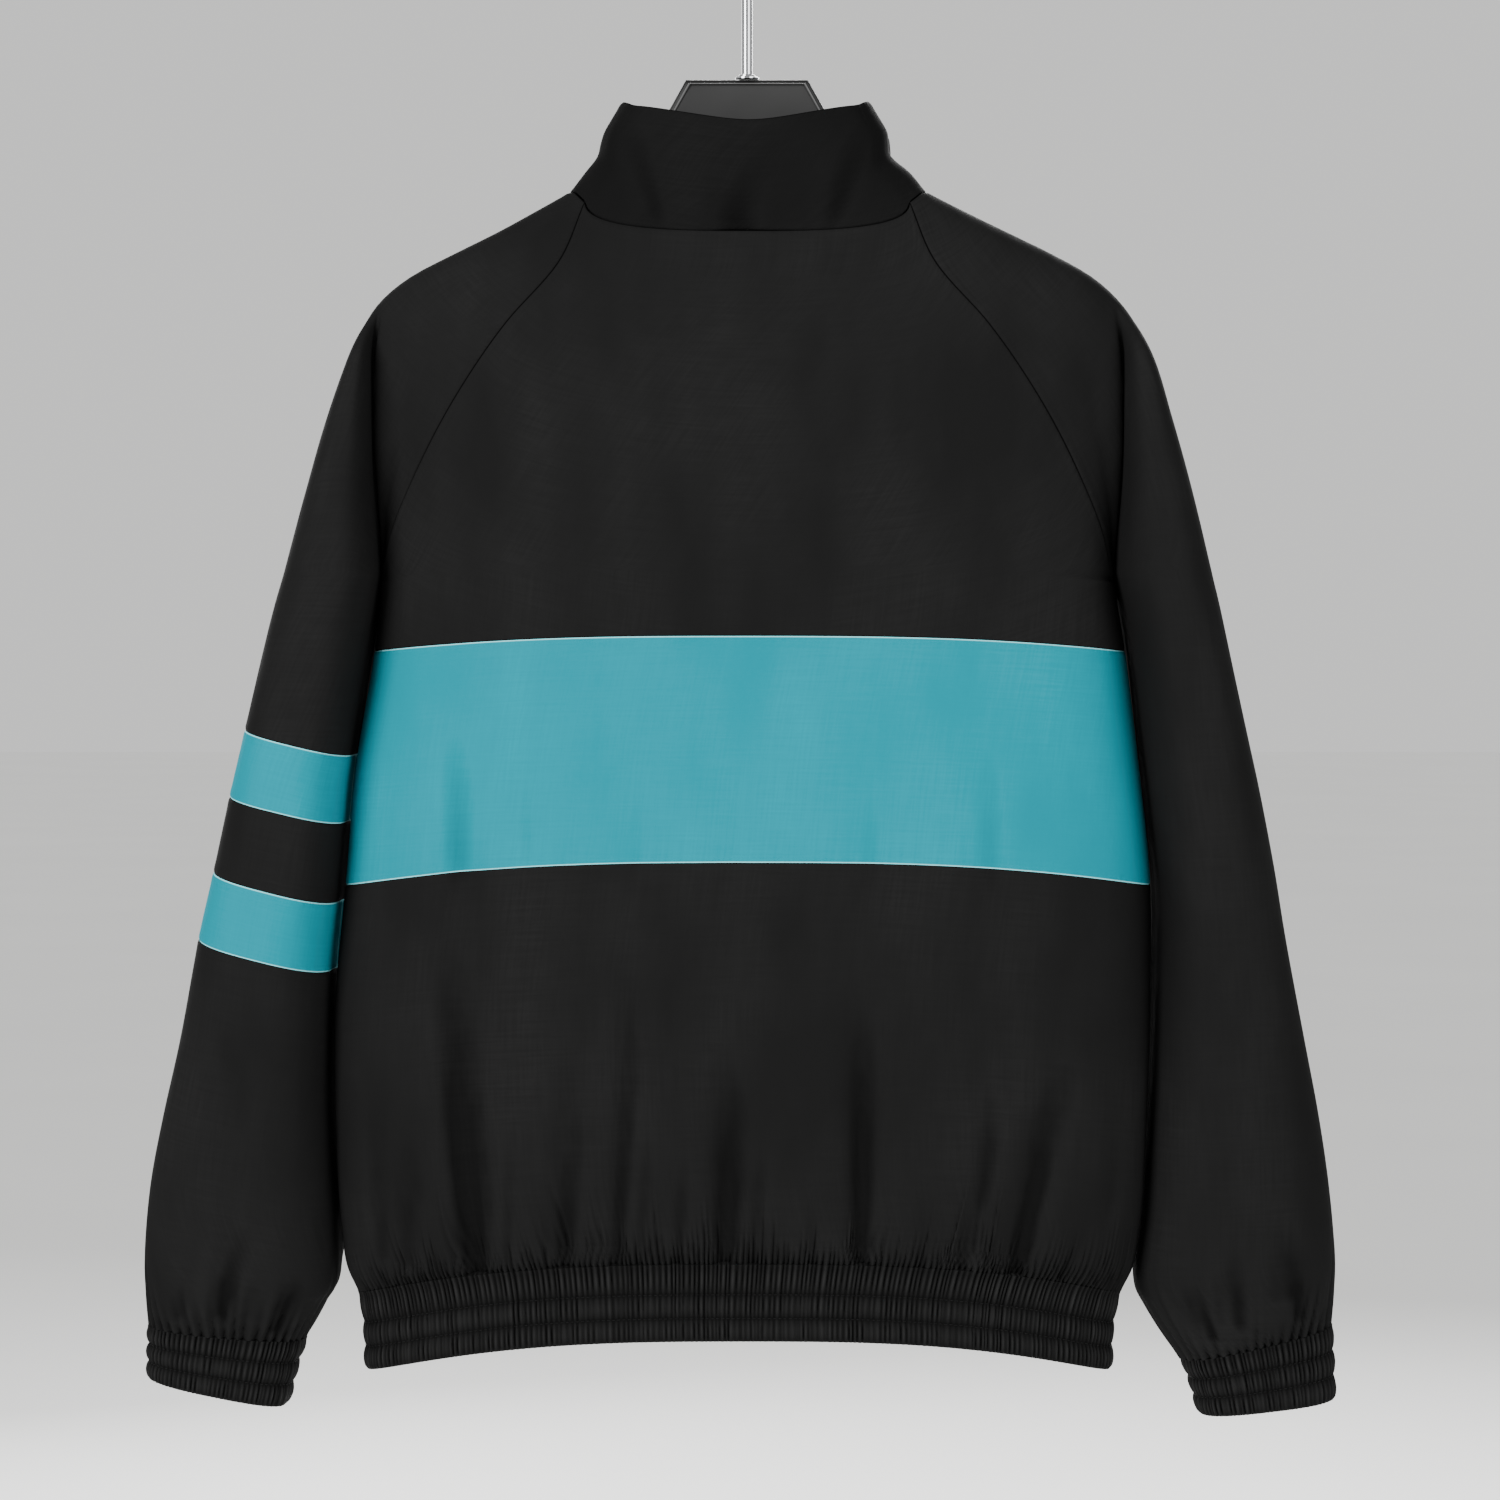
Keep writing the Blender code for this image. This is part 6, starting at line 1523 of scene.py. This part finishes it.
def moulding(front, back, outer, hole=None):
    # a flat part with rounded edges between two depths, with or without a hole
    bevel = min(zipParts["bevel"], (back - front) * 0.4)
    rings = []
    for outline, grow in ((outer, -1.0), (hole, 1.0)):
        if outline is None:
            continue
        centre = (outline.max(axis=0) + outline.min(axis=0)) / 2
        near = centre + (outline - centre) * (1 + grow * bevel / (outline.max(axis=0) - centre))
        stack = [(near, front), (outline, front + bevel), (outline, back - bevel), (near, back)]
        if grow > 0:
            stack.reverse()
        rings += [np.stack([shape[:, 0], np.full(len(shape), y), shape[:, 1]], axis=1) for shape, y in stack]
    return np.concatenate(rings), loftFaces(len(rings), len(outer), hole is None)


def mouldedPiece(name, shells, node, body):
    points = []
    faces = []
    for shellPoints, shellFaces in shells:
        faces += [[n + len(points) for n in face] for face in shellFaces]
        points += [tuple(point) for point in shellPoints]
    solidPiece(name, points, faces, 35, acetalMaterial, node, "zip_plastic", body)


def buildZipParts():
    low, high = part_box("zip_slider")
    tabLow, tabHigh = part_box("zip_pull_tab")
    relief = zipParts["relief"]
    back, plate = high.y, zipParts["plate"]
    pivotZ = tabHigh.z - zipParts["bar"] / 2
    middleZ, half = pivotZ, high.z - pivotZ
    width = (high.x - low.x) / 2
    face = back - 4 * plate
    arch = np.linspace(0.0, math.pi, 25)
    route = np.stack([0 * arch, face + 0.0006 - zipParts["archRadius"] * np.sin(arch),
                      middleZ + zipParts["archRadius"] * np.cos(arch)], axis=1)
    mouldedPiece("zipSlider", [
        moulding(face, face + plate, loop(0.0, middleZ, width * 0.9, half, 3.2, 0.1)),
        moulding(back - plate, back, loop(0.0, middleZ, width * 0.9, half, 3.2, 0.1)),
        moulding(face + plate * 0.5, back - plate * 0.5,
                 loop(0.0, middleZ + half * 0.62, width * 0.24, half * 0.3)),
        moulding(face + plate * 0.8, face + plate * 1.5,
                 loop(width * 0.76, middleZ - half * 0.2, 0.0006, half * 0.7)),
        moulding(face + plate * 0.8, face + plate * 1.5,
                 loop(-width * 0.76, middleZ - half * 0.2, 0.0006, half * 0.7)),
        moulding(face - relief, face + relief, loop(0.0, middleZ, width * 0.72, half * 0.84, 3.2, 0.1),
                 loop(0.0, middleZ, width * 0.58, half * 0.72, 3.2, 0.1)),
        rodShell(route, zipParts["archWire"], 14, (1.0, 0.0, 0.0)),
    ], "zip_slider", "garment")

    front, rear = tabLow.y, tabHigh.y
    holeWidth, holeHalf = zipParts["hole"]
    holeZ = pivotZ - zipParts["bar"] / 2 - holeHalf
    topHalf = tabHigh.z - holeZ
    width = (tabHigh.x - tabLow.x) / 2
    bladeTop = holeZ - topHalf * 0.8
    bladeZ, bladeHalf = (bladeTop + tabLow.z) / 2, (bladeTop - tabLow.z) / 2
    shells = [
        moulding(front, rear, loop(0.0, holeZ, width * 0.86, topHalf, 3.0),
                 loop(0.0, holeZ, holeWidth, holeHalf)),
        moulding(front, rear, loop(0.0, bladeZ, width * 0.94, bladeHalf, 3.4, -0.06)),
        moulding(front - relief, rear + relief, loop(0.0, bladeZ, width * 0.92, bladeHalf * 0.99, 3.4, -0.06),
                 loop(0.0, bladeZ, width * 0.72, bladeHalf * 0.88, 3.4, -0.06)),
    ]
    for rib in range(zipParts["gripRibs"]):
        z = bladeZ - bladeHalf * (0.15 + 0.18 * rib)
        shells.append(moulding(front - relief, rear + relief, loop(0.0, z, width * 0.6, 0.0005, 6.0)))
    mouldedPiece("zipPullTab", shells, "zip_pull_tab", "pull_tab")

    low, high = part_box("zip_box")
    middle = (low + high) / 2
    width, half = (high.x - low.x) / 2, (high.z - low.z) / 2
    mouldedPiece("zipRetainerBox", [
        moulding(low.y, high.y, loop(0.0, middle.z, width, half, 7.0)),
        moulding(low.y - relief, low.y + relief, loop(0.0, middle.z, width * 0.84, half * 0.84, 6.0),
                 loop(0.0, middle.z, width * 0.68, half * 0.70, 6.0)),
        moulding(low.y - relief * 0.6, low.y + relief, loop(0.0, middle.z, width * 0.12, half * 0.7, 6.0)),
    ], "zip_box", "garment")


buildZipParts()
print("slider, pull tab and box ready")
